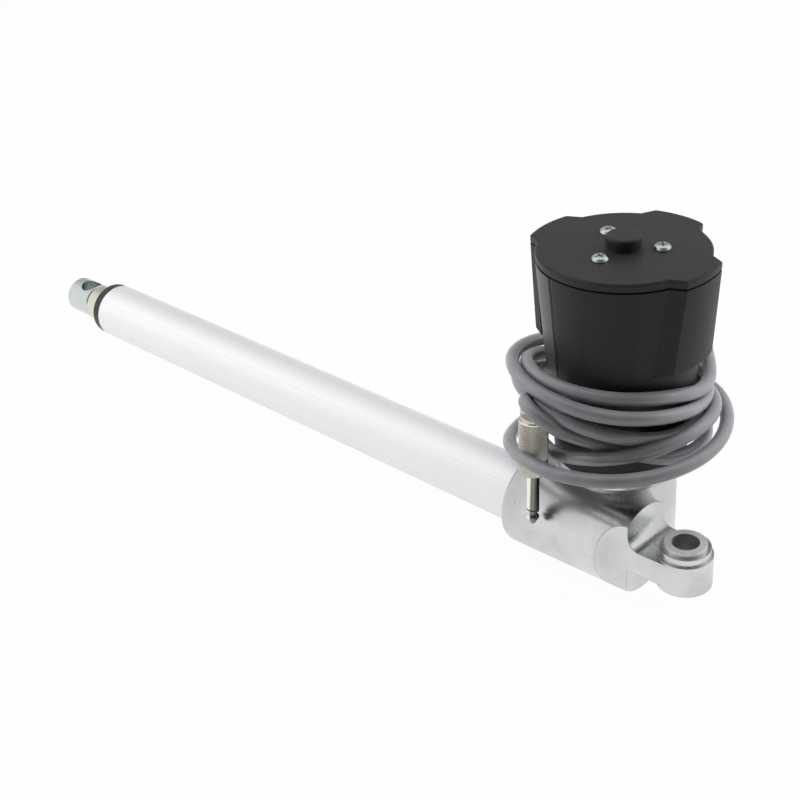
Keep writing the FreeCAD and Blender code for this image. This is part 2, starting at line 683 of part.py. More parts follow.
def motor():
    """Permanent magnet motor: can, plate, magnets, armature on the worm shaft, brushes and bushes."""
    plate = ring("front_plate_blank", "front_plate_radius", "worm_bore_radius", "front_plate_thickness",
                 on_motor("motor_seat_z"))
    plate_holes = [cylinder(f"plate_hole{index}", "plate_screw_radius", "front_plate_thickness", spot)
                   for index, spot in enumerate(plate_spots("motor_seat_z"))]
    node(cut("motor_front_plate", plate, *plate_holes), "motor_front_plate")
    plate_screws = []
    for index, (head, tip) in enumerate(zip(plate_spots(CAN_BOTTOM),
                                            plate_spots("motor_seat_z - plate_screw_depth"))):
        shank_length = f"{CAN_BOTTOM} - motor_seat_z + plate_screw_depth"
        plate_screws.append(fuse(
            f"plate_screw{index}",
            cylinder(f"plate_screw_head{index}", "plate_head_radius", "plate_head_height", head),
            cylinder(f"plate_screw_shank{index}", "plate_screw_radius", shank_length, tip)))
    node(group("plate_screws", *plate_screws), "plate_screws")
    can = fuse("can_blank", cylinder("can_wall_outer", "can_radius", "can_length", on_motor(CAN_BOTTOM)),
               cylinder("can_boss", "can_boss_radius", "can_boss_height", on_motor(CAN_TOP)))
    holes = [cylinder(f"can_screw_hole{index}", "screw_shank_radius", "4 * can_wall", spot)
             for index, spot in enumerate(screw_spots(f"{CAN_TOP} - 2 * can_wall"))]
    hollow = cylinder("can_bore", CAN_BORE, "can_length - can_wall", on_motor(CAN_BOTTOM))
    bush_seat = cylinder("rear_bush_seat", "rear_bush_radius", "can_boss_height + 2 * can_wall",
                         on_motor(f"{CAN_TOP} - can_wall"))
    node(cut("motor_can", can, hollow, bush_seat, *holes), "motor_can")
    node(ring("rear_bush", "rear_bush_radius", SHAFT_BORE, "can_boss_height + can_wall",
              on_motor(f"{CAN_TOP} - can_wall")), "rear_bush")
    node(ring("upper_worm_bearing", "worm_bore_radius", SHAFT_BORE, "upper_bearing_length",
              on_motor(UPPER_BEARING_Z)), "upper_worm_bearing")
    node(ring("lower_worm_bearing", "lower_bearing_radius", SHAFT_BORE, "lower_bearing_length",
              on_motor(LOWER_BEARING_Z)), "lower_worm_bearing")

    magnet_ring = ring("magnet_ring", CAN_BORE, f"{CAN_BORE} - magnet_thickness", MAGNET_HEIGHT,
                       on_motor(MAGNET_BOTTOM))
    gap = box("magnet_gap", ("magnet_gap", "4 * can_radius", MAGNET_HEIGHT),
              ("motor_x - magnet_gap / 2", f"{MOTOR_Y} - 2 * can_radius", MAGNET_BOTTOM))
    node(cut("motor_magnets", magnet_ring, gap), "motor_magnets")

    worm_shaft()
    node(ring("armature_core", CORE_RADIUS, "shaft_radius", CORE_HEIGHT,
              on_motor(CORE_BOTTOM)), "armature_core")
    node(group("armature_winding", *(
        ring(f"end_turns{index}", "winding_radius", "shaft_radius", "winding_height", on_motor(z))
        for index, z in enumerate((f"{CORE_BOTTOM} - winding_height", f"{CORE_BOTTOM} + {CORE_HEIGHT}")))),
        "armature_winding")
    node(ring("commutator", "commutator_radius", "shaft_radius", "commutator_height",
              on_motor(COMMUTATOR_BOTTOM)), "commutator")
    start = "(commutator_radius + brush_gap)"
    node(group("motor_brushes", *(
        box(f"brush{index}", ("brush_reach", "brush_width", "brush_width"),
            (f"motor_x {low}", f"{MOTOR_Y} - brush_width / 2", f"{COMMUTATOR_BOTTOM} + 1"))
        for index, low in enumerate((f"+ {start}", f"- {start} - brush_reach")))), "motor_brushes")
    node(ring("brush_plate", "brush_plate_radius", "brush_plate_hole", "brush_plate_thickness",
              on_motor(f"{COMMUTATOR_BOTTOM} + 1 + brush_width")), "brush_plate")


def on_circle(radius, turn, z):
    """Point on a circle round the motor axis."""
    return (f"motor_x + {radius} * cos({turn})", f"{MOTOR_Y} + {radius} * sin({turn})", z)


def screw_spots(z):
    """Points of the three lid screws at a height, the first towards +Y."""
    return [on_circle("screw_circle_radius", 90 + index * 360 / LID_SCREWS, z)
            for index in range(LID_SCREWS)]


def plate_spots(z):
    """Points of the screws that hold the motor's front plate on the housing."""
    return [on_circle("plate_screw_circle", 30 + index * 360 / PLATE_SCREWS, z)
            for index in range(PLATE_SCREWS)]


def cover_cone(name, inset):
    """The cover's tapered outer form, drawn in by an inset."""
    return cone(name, f"cover_bottom_radius - {inset}", f"cover_top_radius - {inset}", COVER_HEIGHT,
                on_motor("motor_seat_z"))


def lobe_bars(name, inset, low, height):
    """Three bars, wider towards the axis, that mark the lobes out of a round form."""
    reach = f"(1.2 * {LOBE_TOP_RADIUS})"
    root = f"(lobe_half_width - {inset} + lobe_flare * {LOBE_TOP_RADIUS})"
    end = f"({root} - lobe_flare * {reach})"
    bars = []
    for turn in LOBE_TURNS:
        bar = doc.addObject("Part::Wedge", f"{name}{turn % 360}")
        bind(bar, Xmin=f"-{root}", Xmax=root, Ymin="0", Ymax=reach, Zmin="0", Zmax=height,
             X2min=f"-{end}", X2max=end, Z2min="0", Z2max=height)
        bars.append(place(bar, on_motor(low), Rotation(Vector(0, 0, 1), turn - 90)))
    return fuse(name, *bars)


def lobes(name, inset):
    """The three lobes of the cover, each with a sloped foot, drawn in by an inset."""
    height = f"({COVER_TOP} - lobe_bottom_z)"
    upper = cone(f"{name}_upper", f"{LOBE_BOTTOM_RADIUS} - {inset}", f"{LOBE_TOP_RADIUS} - {inset}", height,
                 on_motor("lobe_bottom_z"))
    foot = cone(f"{name}_foot", f"cover_bottom_radius - {inset}", f"{LOBE_BOTTOM_RADIUS} - {inset}",
                "lobe_slope", on_motor("lobe_bottom_z - lobe_slope"))
    bars = lobe_bars(f"{name}_bars", inset, "lobe_bottom_z - lobe_slope", f"{height} + lobe_slope")
    return common(name, fuse(f"{name}_round", upper, foot), bars)


def duct_sector(name, start, span, low, height):
    """Wedge of the cover that the duct panel takes."""
    turn = Rotation(Vector(0, 0, 1), value(start))
    sector = cylinder(name, "2 * cover_top_radius", height, on_motor(low), turn)
    bind(sector, Angle=span)
    sector.setExpression("Placement.Rotation.Angle", linked(start))
    return sector


def cable_axis(distance):
    """Point on the tangential cable exit, measured from the middle of its boss."""
    return (f"motor_x + {CABLE_ORBIT} * cos(cable_boss_angle) + ({distance}) * sin(cable_boss_angle)",
            f"{MOTOR_Y} + {CABLE_ORBIT} * sin(cable_boss_angle) - ({distance}) * cos(cable_boss_angle)",
            "cable_boss_z")


def cable_turn():
    """Turn that lays the Z axis along the cable exit."""
    return Rotation(Vector(0, 0, 1), value("cable_boss_angle - 90")).multiply(ALONG_X)


def along_cable(name, radius, start, length):
    """Cylinder along the cable exit."""
    return cylinder(name, radius, length, cable_axis(start), cable_turn())


def motor_cover():
    """Moulded cover with lobes and cable boss, and the duct panel let into its side."""
    boss_start = "-cable_boss_length / 2"
    cable_boss = along_cable("cable_boss", "cable_boss_radius", boss_start, "cable_boss_length")
    skin = fuse("cover_skin", cover_cone("cover_outer", "0"), lobes("lobe_skin", "0"), cable_boss)
    floor_hole = cylinder("cover_floor_hole", "front_plate_radius + fit_gap", "cover_floor",
                          on_motor("motor_seat_z"))
    floor_slab = cylinder("cover_floor_slab", "2 * cover_top_radius", "cover_floor", on_motor("motor_seat_z"))
    inside = cut("cover_inside", cover_cone("cover_inner", "cover_wall"), floor_slab)
    duct_height = f"{COVER_TOP} - duct_bottom_z"
    recess = common("duct_recess", duct_sector("recess_sector", "duct_start_angle", "duct_span_angle",
                                               "duct_bottom_z", duct_height),
                    cut("recess_layer", cover_cone("recess_outer", "-duct_depth"),
                        cover_cone("recess_inner", "duct_depth")))
    gland_seat = along_cable("gland_seat", "gland_spigot_radius",
                             "cable_boss_length / 2 - gland_spigot_length", "gland_spigot_length")
    node(cut("motor_cover", skin, inside, lobes("lobe_hollow", "lobe_wall"), floor_hole, recess, gland_seat),
         "motor_cover")

    panel_turn = "duct_start_angle + duct_gap / cover_top_radius * 180 / pi"
    panel_span = "duct_span_angle - 2 * duct_gap / cover_top_radius * 180 / pi"
    panel_sector = duct_sector("panel_sector", panel_turn, panel_span, "duct_bottom_z + duct_gap",
                               f"{duct_height} - 2 * duct_gap")
    panel_layer = cut("panel_layer", cover_cone("panel_outer", "0"), cover_cone("panel_inner", "duct_depth"))
    node(common("duct_panel_blank", panel_sector, panel_layer), "duct_panel")


def lobed_plate(name, inset, low, height):
    """Flat plate with the cover's three lobes, drawn in by an inset."""
    disc = cylinder(f"{name}_disc", f"cover_top_radius - {inset}", height, on_motor(low))
    ear_disc = cylinder(f"{name}_ear_disc", f"{LOBE_TOP_RADIUS} - {inset}", height, on_motor(low))
    ears = common(f"{name}_ears", ear_disc, lobe_bars(f"{name}_bars", inset, low, height))
    return fuse(name, disc, ears)


def motor_lid():
    """Lid with matching lobes, centre boss and screw posts, held by three screws."""
    flat = lobed_plate("lid_flat", "0", f"{COVER_TOP} + lid_gap", "lid_thickness - lid_gap")
    seat = lobed_plate("lid_seat", "lid_reveal", COVER_TOP, "lid_gap")
    flat.Refine = True
    top = value("lid_top_z")
    bevelled = doc.addObject("Part::Chamfer", "lid_bevel")
    doc.recompute()
    size = value("lid_chamfer")
    bevelled.Base = flat
    bevelled.Edges = [(index, size, size) for index, edge in enumerate(flat.Shape.Edges, start=1)
                      if near(edge.BoundBox.ZMin, top) and near(edge.BoundBox.ZMax, top)]
    boss_blank = cylinder("lid_boss_blank", "lid_boss_radius", "lid_boss_height", on_motor("lid_top_z"))
    boss_top = value("lid_top_z + lid_boss_height")
    boss = rounded("lid_boss", boss_blank, "lid_boss_round", lambda edge: near(edge.BoundBox.ZMin, boss_top))
    lip_radius = "(cover_top_radius - cover_wall - 2 * fit_gap)"
    lip = ring("lid_lip", lip_radius, f"{lip_radius} - lid_lip_wall", "lid_lip_depth",
               on_motor(f"{COVER_TOP} - lid_lip_depth"))
    posts = [cylinder(f"lid_post{index}", "lid_post_radius", f"{COVER_TOP} - {CAN_TOP}", spot)
             for index, spot in enumerate(screw_spots(CAN_TOP))]
    holes = [cylinder(f"lid_screw_hole{index}", "screw_shank_radius", f"lid_top_z - {CAN_TOP}", spot)
             for index, spot in enumerate(screw_spots(CAN_TOP))]
    node(cut("motor_lid", fuse("lid_blank", bevelled, seat, boss, lip, *posts), *holes), "motor_lid")

    screws = []
    crown = value("lid_top_z + screw_head_height")
    for index, (head, shank) in enumerate(zip(screw_spots("lid_top_z"),
                                              screw_spots("lid_top_z - screw_length"))):
        blank = cylinder(f"screw_head_blank{index}", "screw_head_radius", "screw_head_height", head)
        dome = rounded(f"screw_head{index}", blank, "screw_head_round",
                       lambda edge: near(edge.BoundBox.ZMin, crown))
        screws.append(fuse(f"lid_screw{index}", dome,
                           cylinder(f"screw_shank{index}", "screw_shank_radius", "screw_length", shank)))
    node(group("lid_screws", *screws), "lid_screws")


PLUG_TURN = Rotation(Vector(-value("sin(plug_lean_angle)"), value("cos(plug_lean_angle)"), 0),
                     value("plug_lean"))


def plug_axis(distance):
    """Point on the plug's axis, measured up from its tip."""
    out = f"({distance}) * sin(plug_lean)"
    return (f"plug_tip_x + {out} * cos(plug_lean_angle)", f"plug_tip_y + {out} * sin(plug_lean_angle)",
            f"plug_tip_z + ({distance}) * cos(plug_lean)")


def along_plug(name, radius, start, length):
    """Cylinder along the plug's axis."""
    return cylinder(name, radius, length, plug_axis(start), PLUG_TURN)


COLLAR_START = "plug_pin_length"
SHELL_START = f"({COLLAR_START} + plug_collar_length)"
CAP_START = f"({SHELL_START} + plug_shell_length)"
PLUG_TOP = f"({CAP_START} + plug_cap_length)"


def plug():
    """Jack plug on the cable's end: tip, insulating ring, sleeve, collar, knurled shell and cap."""
    tip = new_body("plug_tip")
    sleeve_start = "plug_tip_length + plug_insulator_length"
    turned(tip, "Revolution", "tip_section", [
        ("0", "0"), ("plug_waist_radius / 2", "0"), ("plug_pin_radius", "plug_tip_length * 0.42"),
        ("plug_pin_radius", "plug_tip_length * 0.52"), ("plug_waist_radius", "plug_tip_length * 0.7"),
        ("plug_waist_radius", "plug_tip_length * 0.82"), ("plug_pin_radius", "plug_tip_length * 0.92"),
        ("plug_pin_radius", "plug_tip_length"), ("0", "plug_tip_length")], "V_Axis")
    place(tip, plug_axis("0"), PLUG_TURN)
    for label, radius, start, length in (
            ("plug_insulator", "plug_pin_radius", "plug_tip_length", "plug_insulator_length"),
            ("plug_sleeve", "plug_pin_radius", sleeve_start, f"plug_pin_length - ({sleeve_start})"),
            ("plug_collar", "plug_collar_radius", COLLAR_START, "plug_collar_length"),
            ("plug_shell", "plug_shell_radius", SHELL_START, "plug_shell_length"),
            ("plug_cap", "plug_cap_radius", CAP_START, "plug_cap_length")):
        node(along_plug(label, radius, start, length), label)


def across_shift():
    """Level axis that the lower turns of the coil lean about."""
    return Rotation(Vector(0, 0, 1), value("coil_shift_angle")).multVec(Vector(0, 1, 0))


def cable():
    """Cable gland, the wound coil as its outer form, and the two short leads at its ends."""
    boss_end = "cable_boss_length / 2"
    lead_end = f"{boss_end} + gland_length + lead_length"
    lead_start = f"{boss_end} - gland_spigot_length"
    collar = cone("gland_collar", "gland_radius", "gland_mouth_radius", "gland_length",
                  cable_axis(boss_end), cable_turn())
    spigot = along_cable("gland_spigot", "gland_spigot_radius", lead_start, "gland_spigot_length")
    bore = along_cable("gland_bore", CABLE_RADIUS, lead_start, f"{lead_end} - ({lead_start})")
    node(cut("cable_gland", fuse("gland_blank", collar, spigot), bore), "cable_gland")
    node(along_cable("gland_lead", CABLE_RADIUS, lead_start, f"{lead_end} - ({lead_start})"), "gland_lead")
    node(along_plug("plug_lead", CABLE_RADIUS, PLUG_TOP, "lead_length"), "plug_lead")

    lower = cylinder("coil_lower_blank", "coil_lower_radius", "coil_waist_z - coil_bottom_z",
                     on_circle("coil_lower_shift", "coil_shift_angle", "coil_bottom_z"),
                     Rotation(across_shift(), value("coil_tilt")))
    lower.setExpression("Placement.Rotation.Angle", linked("coil_tilt"))
    upper = cylinder("coil_upper_blank", "coil_upper_radius", "coil_top_z - coil_waist_z",
                     on_circle("coil_upper_shift", "coil_shift_angle", "coil_waist_z"))
    rounds = [rounded("coil_lower", lower, "coil_round", lambda edge: len(edge.Vertexes) == 1),
              rounded("coil_upper", upper, "coil_round",
                      lambda edge: near(edge.BoundBox.ZMin, value("coil_top_z")))]
    hole = cylinder("coil_hole", "coil_inner_radius", "2 * coil_top_z - coil_bottom_z", on_motor("0"))
    room = "coil_clearance"
    exit_room = along_cable("exit_room", f"cable_boss_radius + {room}", f"-{boss_end} - {room}",
                            f"{boss_end} + {room} + {lead_end}")
    plug_room = along_plug("plug_room", f"plug_shell_radius + {room}", "plug_tip_length",
                           f"{PLUG_TOP} + lead_length - plug_tip_length")
    node(cut("cable_coil", fuse("coil_blank", *rounds), hole, exit_room, plug_room), "cable_coil")


def export():
    """Check every object and write one file for each sub-part."""
    doc.recompute()
    for thing in doc.Objects:
        faults = {"Invalid", "Error"} & set(thing.State)
        if faults:
            raise RuntimeError(f"{thing.Label}: {faults}")
    os.makedirs("parts", exist_ok=True)
    for thing in NODES:
        if thing.Shape.isNull() or not thing.Shape.isValid() or not thing.Shape.Solids:
            raise RuntimeError(f"{thing.Label} has no sound solid")
        thing.Shape.exportStep(f"parts/{thing.Label}.step")


for build in (gear_housing, eye_bush, outer_tube, end_cap, rod, spindle_drive, spindle_bearing,
              motor, motor_cover, motor_lid, plug, cable):
    build()
export()
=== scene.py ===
"""Electric linear actuator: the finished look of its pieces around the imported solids.

Lengths are in metres in the solids' frame: X runs along the tube to the rod end, Z is up, and the
origin is on the rear eye's axis at the height of the tube's axis.
"""

import json
import logging
import math
from dataclasses import dataclass
from enum import Enum
from typing import Any, Callable, Optional, Sequence

import bmesh
import bpy
from mathutils import Matrix, Vector


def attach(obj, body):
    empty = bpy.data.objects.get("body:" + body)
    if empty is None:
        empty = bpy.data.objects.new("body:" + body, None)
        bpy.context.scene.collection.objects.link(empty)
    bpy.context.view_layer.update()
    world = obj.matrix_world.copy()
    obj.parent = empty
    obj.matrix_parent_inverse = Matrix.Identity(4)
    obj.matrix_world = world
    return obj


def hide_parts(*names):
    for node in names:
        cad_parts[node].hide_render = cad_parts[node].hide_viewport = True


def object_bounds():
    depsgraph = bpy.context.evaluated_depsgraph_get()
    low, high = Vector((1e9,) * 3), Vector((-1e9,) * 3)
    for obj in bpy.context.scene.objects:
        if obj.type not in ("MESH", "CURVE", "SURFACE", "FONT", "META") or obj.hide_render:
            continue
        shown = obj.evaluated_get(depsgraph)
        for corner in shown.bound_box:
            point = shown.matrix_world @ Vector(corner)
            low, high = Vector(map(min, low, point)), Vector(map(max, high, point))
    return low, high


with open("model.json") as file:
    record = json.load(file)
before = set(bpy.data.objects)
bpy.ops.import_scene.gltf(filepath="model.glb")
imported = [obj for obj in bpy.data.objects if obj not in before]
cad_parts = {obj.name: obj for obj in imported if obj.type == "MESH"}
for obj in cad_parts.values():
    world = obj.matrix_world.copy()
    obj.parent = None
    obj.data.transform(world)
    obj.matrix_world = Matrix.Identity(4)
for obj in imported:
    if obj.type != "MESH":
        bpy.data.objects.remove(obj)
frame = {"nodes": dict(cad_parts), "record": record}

SOLID_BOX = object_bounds()
LOG = logging.getLogger("actuator")

Colour = tuple[float, float, float]
Point = tuple[float, float, float]
Pair = tuple[float, float]
Profile = Sequence[Pair]

MILLIMETRE = 0.001

# Upright axes in plan, and the round mark that an ejector pin left on the arm.
MOTOR_AXIS: Pair = (0.057, -0.024)
EYE_AXIS: Pair = (0.0, 0.0)
EJECTOR_AT: Pair = (0.0145, 0.0)
EJECTOR_RADIUS = 0.0030

# The plug's contact pin: its middle, how far it leans for each metre up, and the direction across it along
# which painted reflections lie as dark bands.
PIN_MIDDLE: Point = (0.0721, 0.0281, 0.0246)
PIN_RADIUS = 0.0032
PIN_LEAN = 0.064
REFLECTION_BAND_SIDE: Pair = (-0.6955, -0.7185)

# How deep a moulded seam is, counted in depths of the plastic's grain, and how wide a line in a casting is.
SEAM_DEPTH = 14.0
CAST_LINE = 0.0003

# Tones that a finish shows in single places. The pit tone also gives painted shade along a casting's sharp
# edges, the knurl tone is painted shade in a knurl's grooves, and the bore tone is painted shade inside the
# eye's bore.
PIT_AND_EDGE_SHADE_TONE: Colour = (0.08, 0.08, 0.08)
DIE_LINE_TONE: Colour = (0.45, 0.46, 0.48)
SEAM_TONE: Colour = (0.002, 0.002, 0.002)
KNURL_SHADE_TONE: Colour = (0.09, 0.085, 0.07)
ROSE_TONE: Colour = (0.74, 0.60, 0.58)
BORE_SHADE_TONE: Colour = (0.07, 0.07, 0.075)


class Value:
    """An output socket of a node tree. Arithmetic on it adds Math nodes."""

    def __init__(self, net: "Net", socket: bpy.types.NodeSocket) -> None:
        """Hold the tree and the socket."""
        self.net = net
        self.socket = socket

    def maths(self, operation: str, *terms: Any) -> "Value":
        """Add one Math node.

        Args:
            operation: The node's operation.
            terms: Its inputs in order, values or numbers.

        Returns:
            The node's result.
        """
        return self.net.node("ShaderNodeMath", {"operation": operation}, dict(enumerate(terms)))

    def __add__(self, other: Any) -> "Value":
        """Sum."""
        return self.maths("ADD", self, other)

    def __radd__(self, other: Any) -> "Value":
        """Sum with the value on the right."""
        return self.maths("ADD", other, self)

    def __sub__(self, other: Any) -> "Value":
        """Difference."""
        return self.maths("SUBTRACT", self, other)

    def __rsub__(self, other: Any) -> "Value":
        """Difference with the value on the right."""
        return self.maths("SUBTRACT", other, self)

    def __mul__(self, other: Any) -> "Value":
        """Product."""
        return self.maths("MULTIPLY", self, other)

    def __rmul__(self, other: Any) -> "Value":
        """Product with the value on the right."""
        return self.maths("MULTIPLY", other, self)

    def __truediv__(self, other: Any) -> "Value":
        """Quotient."""
        return self.maths("DIVIDE", self, other)

    def __rtruediv__(self, other: Any) -> "Value":
        """Quotient with the value on the right."""
        return self.maths("DIVIDE", other, self)

    def __abs__(self) -> "Value":
        """Size without the sign."""
        return self.maths("ABSOLUTE", self)

    def ridge(self) -> "Value":
        """Triangle wave of period 1: 1 at whole numbers, 0 half way between."""
        return abs(self.maths("FRACT", self) - 0.5) * 2.0


class Net:
    """A node tree with one way to add a node."""

    def __init__(self, tree: bpy.types.NodeTree) -> None:
        """Hold the tree."""
        self.tree = tree

    def node(self, kind: str, settings: Optional[dict[str, Any]] = None,
             sockets: Optional[dict[Any, Any]] = None, out: Any = 0) -> Value:
        """Add a node.

        Args:
            kind: The node's type.
            settings: Its properties, set before its sockets.
            sockets: Its inputs by name or index: a value, a list of values or a constant.
            out: The output to return, by name or index.

        Returns:
            The chosen output.
        """
        node = self.tree.nodes.new(kind)
        for name, setting in (settings or {}).items():
            setattr(node, name, setting)
        for key, term in (sockets or {}).items():
            for each in term if isinstance(term, list) else [term]:
                if isinstance(each, Value):
                    self.tree.links.new(each.socket, node.inputs[key])
                else:
                    node.inputs[key].default_value = each
        return Value(self, node.outputs[out])

    def split(self, vector: Value) -> tuple[Value, Value, Value]:
        """Take a vector apart into its X, Y and Z."""
        first = self.node("ShaderNodeSeparateXYZ", {}, {0: vector})
        return tuple(Value(self, socket) for socket in first.socket.node.outputs)

    def step(self, value: Value, low: float, high: float) -> Value:
        """Ease from 0 at low to 1 at high."""
        return self.node("ShaderNodeMapRange", {"interpolation_type": "SMOOTHSTEP"},
                         {0: value, 1: low, 2: high})

    def dot(self, first: Any, second: Any) -> Value:
        """Dot product of two vectors."""
        return self.node("ShaderNodeVectorMath", {"operation": "DOT_PRODUCT"}, {0: first, 1: second},
                         out="Value")

    def rays(self) -> tuple[Value, Value]:
        """Tell rays apart.

        Returns:
            1 for a ray from the camera, and 1 for a ray off a mirror or through glass.
        """
        camera = self.node("ShaderNodeLightPath", out="Is Camera Ray")
        glossy, clear = (Value(self, camera.socket.node.outputs[name])
                         for name in ("Is Glossy Ray", "Is Transmission Ray"))
        return camera, glossy.maths("MAXIMUM", glossy, clear)


class Paint(Net):
    """A material's tree around one Principled shader, on Object coordinates."""

    def __init__(self, name: str) -> None:
        """Start a material.

        Args:
            name: The material's name.
        """
        self.material = bpy.data.materials.new(name)
        self.material.use_nodes = True
        super().__init__(self.material.node_tree)
        self.shader = next(n for n in self.tree.nodes if n.type == "BSDF_PRINCIPLED")
        self.place = self.node("ShaderNodeTexCoord", out="Object")

    def spread(self, scale: Point, turn: Point = (0.0, 0.0, 0.0)) -> Value:
        """Object coordinates scaled along each axis, and turned."""
        return self.node("ShaderNodeMapping", {}, {"Vector": self.place, "Scale": scale, "Rotation": turn})

    def noise(self, scale: float, detail: float = 2.0, place: Optional[Value] = None) -> Value:
        """Cloudy noise, 0 to 1, with scale cells in a metre."""
        return self.node("ShaderNodeTexNoise", {},
                         {"Vector": place or self.place, "Scale": scale, "Detail": detail})

    def cells(self, scale: float) -> Value:
        """Distance to the nearest of scattered points, scale of them along a metre."""
        return self.node("ShaderNodeTexVoronoi", {}, {"Vector": self.place, "Scale": scale})

    def blend(self, share: Any, first: Any, second: Any) -> Value:
        """Mix two colours.

        Args:
            share: How much of the second one shows.
            first: A colour or a value.
            second: A colour or a value.

        Returns:
            The mixed colour.
        """
        first, second = (c if isinstance(c, Value) else (*c, 1.0) for c in (first, second))
        return self.node("ShaderNodeMix", {"data_type": "RGBA"}, {0: share, 6: first, 7: second}, out=2)

    def groove(self, value: Value, at: float, width: float) -> Value:
        """A line: 1 where the value is at the mark, 0 from the width on."""
        return 1.0 - self.step(abs(value - at), 0.0, width)

    def edges(self, radius: float) -> Value:
        """Nearness to a sharp edge: 1 on it, 0 from about the radius on."""
        bevelled = self.node("ShaderNodeBevel", {"samples": 6}, {"Radius": radius})
        return 1.0 - self.step(self.dot(bevelled, self.node("ShaderNodeNewGeometry", out="Normal")), 0.80, 0.985)

    def reach(self, axis: Pair) -> Value:
        """Distance from an upright axis.

        Args:
            axis: The axis in plan.

        Returns:
            The distance in metres.
        """
        x, y, _ = self.split(self.place)
        x, y = x - axis[0], y - axis[1]
        return x.maths("SQRT", x * x + y * y)

    def specks(self, scale: float, size: Pair, patches: float, level: Pair) -> Value:
        """Scatter dots that come in patches.

        Args:
            scale: Dots along a metre.
            size: Where a dot is full and where it ends, in gaps between dots.
            patches: Patches along a metre.
            level: Noise at which a patch begins and at which it is full.

        Returns:
            1 in a dot, 0 outside.
        """
        dots = 1.0 - self.step(self.cells(scale), *size)
        return dots * self.step(self.noise(patches, 1.0), *level)

    def seamed(self, around: Value, seams: Sequence[Point], tone: Value,
               dark: Colour) -> tuple[Value, Any]:
        """Draw lines along a round piece.

        Args:
            around: Angle about the piece's axis.
            seams: Angle in degrees, width in radians and strength of each line.
            tone: Colour of the piece.
            dark: Colour in the lines.

        Returns:
            The colour with its lines, and the lines' strength at each point.
        """
        lines: Any = 0.0
        for angle, width, share in seams:
            seam = self.groove(around, math.radians(angle), width) * share
            tone = self.blend(seam, tone, dark)
            lines = seam + lines
        return tone, lines

    def shade(self, sockets: dict[str, Any], height: Optional[Value] = None, depth: float = 0.0,
              edge: float = 0.0) -> None:
        """Feed the shader.

        Args:
            sockets: The shader's inputs by name, values or constants.
            height: Relief over the surface.
            depth: How deep a relief of 1 is.
            edge: Radius to which sharp edges look worn.
        """
        normal: dict[str, Any] = {}
        if edge:
            normal["Normal"] = self.node("ShaderNodeBevel", {"samples": 6}, {"Radius": edge})
        if height:
            normal["Normal"] = self.node("ShaderNodeBump", {},
                                         {"Height": height, "Distance": depth, "Strength": 1.0, **normal})
        for name, term in {**sockets, **normal}.items():
            if isinstance(term, Value):
                self.tree.links.new(term.socket, self.shader.inputs[name])
            else:
                self.shader.inputs[name].default_value = term


class Surface(Enum):
    """The ways in which a surface of this drive was made."""

    CAST = "cast"
    DRAWN = "drawn"
    MOULDED = "moulded"
    POLISHED = "polished"
    PLATED = "plated"
    CHROMATED = "chromated"
    TURNED = "turned"
    PRESSED = "pressed"
    WOUND = "wound"
    LAMINATED = "laminated"
    SHEATHED = "sheathed"


@dataclass(frozen=True)
class Finish:
    """One finish: how it was made, its two tones and its relief.

    Attributes:
        slot: The material's name, which is the record's slot where it has one.
        surface: How the surface was made.
        colour: Its main tone.
        second: The tone that it drifts to.
        rough: Roughness.
        metal: Share of bare metal.
        grain: Size of the grain.
        depth: Depth of the relief.
        edge: Radius to which sharp edges look worn.
        lay: How close tool marks stand along each axis, in a metre.
        gloss: Strength of a plastic's mirror.
        bore: Radius of the rear eye's bore, whose wall gets painted shade.
        seams: Angle in degrees, width in radians and strength of each line along a round piece.
    """

    slot: str
    surface: Surface
    colour: Colour
    second: Colour
    rough: float
    metal: float = 0.0
    grain: float = 0.0005
    depth: float = 0.00002
    edge: float = 0.0004
    lay: Point = (1.0, 1.0, 1.0)
    gloss: float = 0.5
    bore: float = 0.0
    seams: tuple[Point, ...] = ()

    def material(self) -> bpy.types.Material:
        """Paint this finish.

        Returns:
            Its material.
        """
        paint = Paint(self.slot)
        RECIPES[self.surface](paint, self)
        return paint.material


def cast_skin(paint: Paint, finish: Finish) -> None:
    """Die-cast metal: cloudy flow marks, fine grain, a few dark pits, and painted shade along sharp edges and
    creases.

    Args:
        paint: The material's tree.
        finish: Its tones and sizes.
    """
    cloud = paint.step(paint.noise(34.0, 4.0), 0.36, 0.66)
    flow = paint.noise(1.0, 3.0, paint.spread((60.0, 300.0, 300.0)))
    skin = paint.noise(380.0, 3.0)
    grain = paint.noise(1.0 / finish.grain, 2.0)
    pit = paint.specks(210.0, (0.04, 0.10), 70.0, (0.60, 0.66))
    _, _, z = paint.split(paint.place)
    parting = paint.groove(z, 0.0, CAST_LINE) * paint.step(paint.noise(120.0, 2.0), 0.42, 0.62)
    ejector = paint.groove(paint.reach(EJECTOR_AT), EJECTOR_RADIUS, CAST_LINE) * paint.step(z, 0.004, 0.005)
    mark = parting.maths("MAXIMUM", parting * 0.15, ejector * 0.5)
    # Painted shade: the casting's sharp edges and creases are darkened as if shade lay along them.
    mark = mark.maths("MAXIMUM", mark, paint.edges(0.0006) * 0.62)
    tone = paint.blend(cloud * 0.6 + flow * 0.4, finish.colour, finish.second)
    pits_marks_and_edge_shade = pit.maths("MAXIMUM", pit * 0.85, mark)
    paint.shade({"Base Color": paint.blend(pits_marks_and_edge_shade, tone, PIT_AND_EDGE_SHADE_TONE), "Metallic": finish.metal,
                 "Roughness": finish.rough + (skin - 0.5) * 0.12 + (cloud - 0.5) * 0.10},
                grain * 0.5 + skin + flow * 0.6 - pit * 3.0 - mark * 2.0, finish.depth, finish.edge)


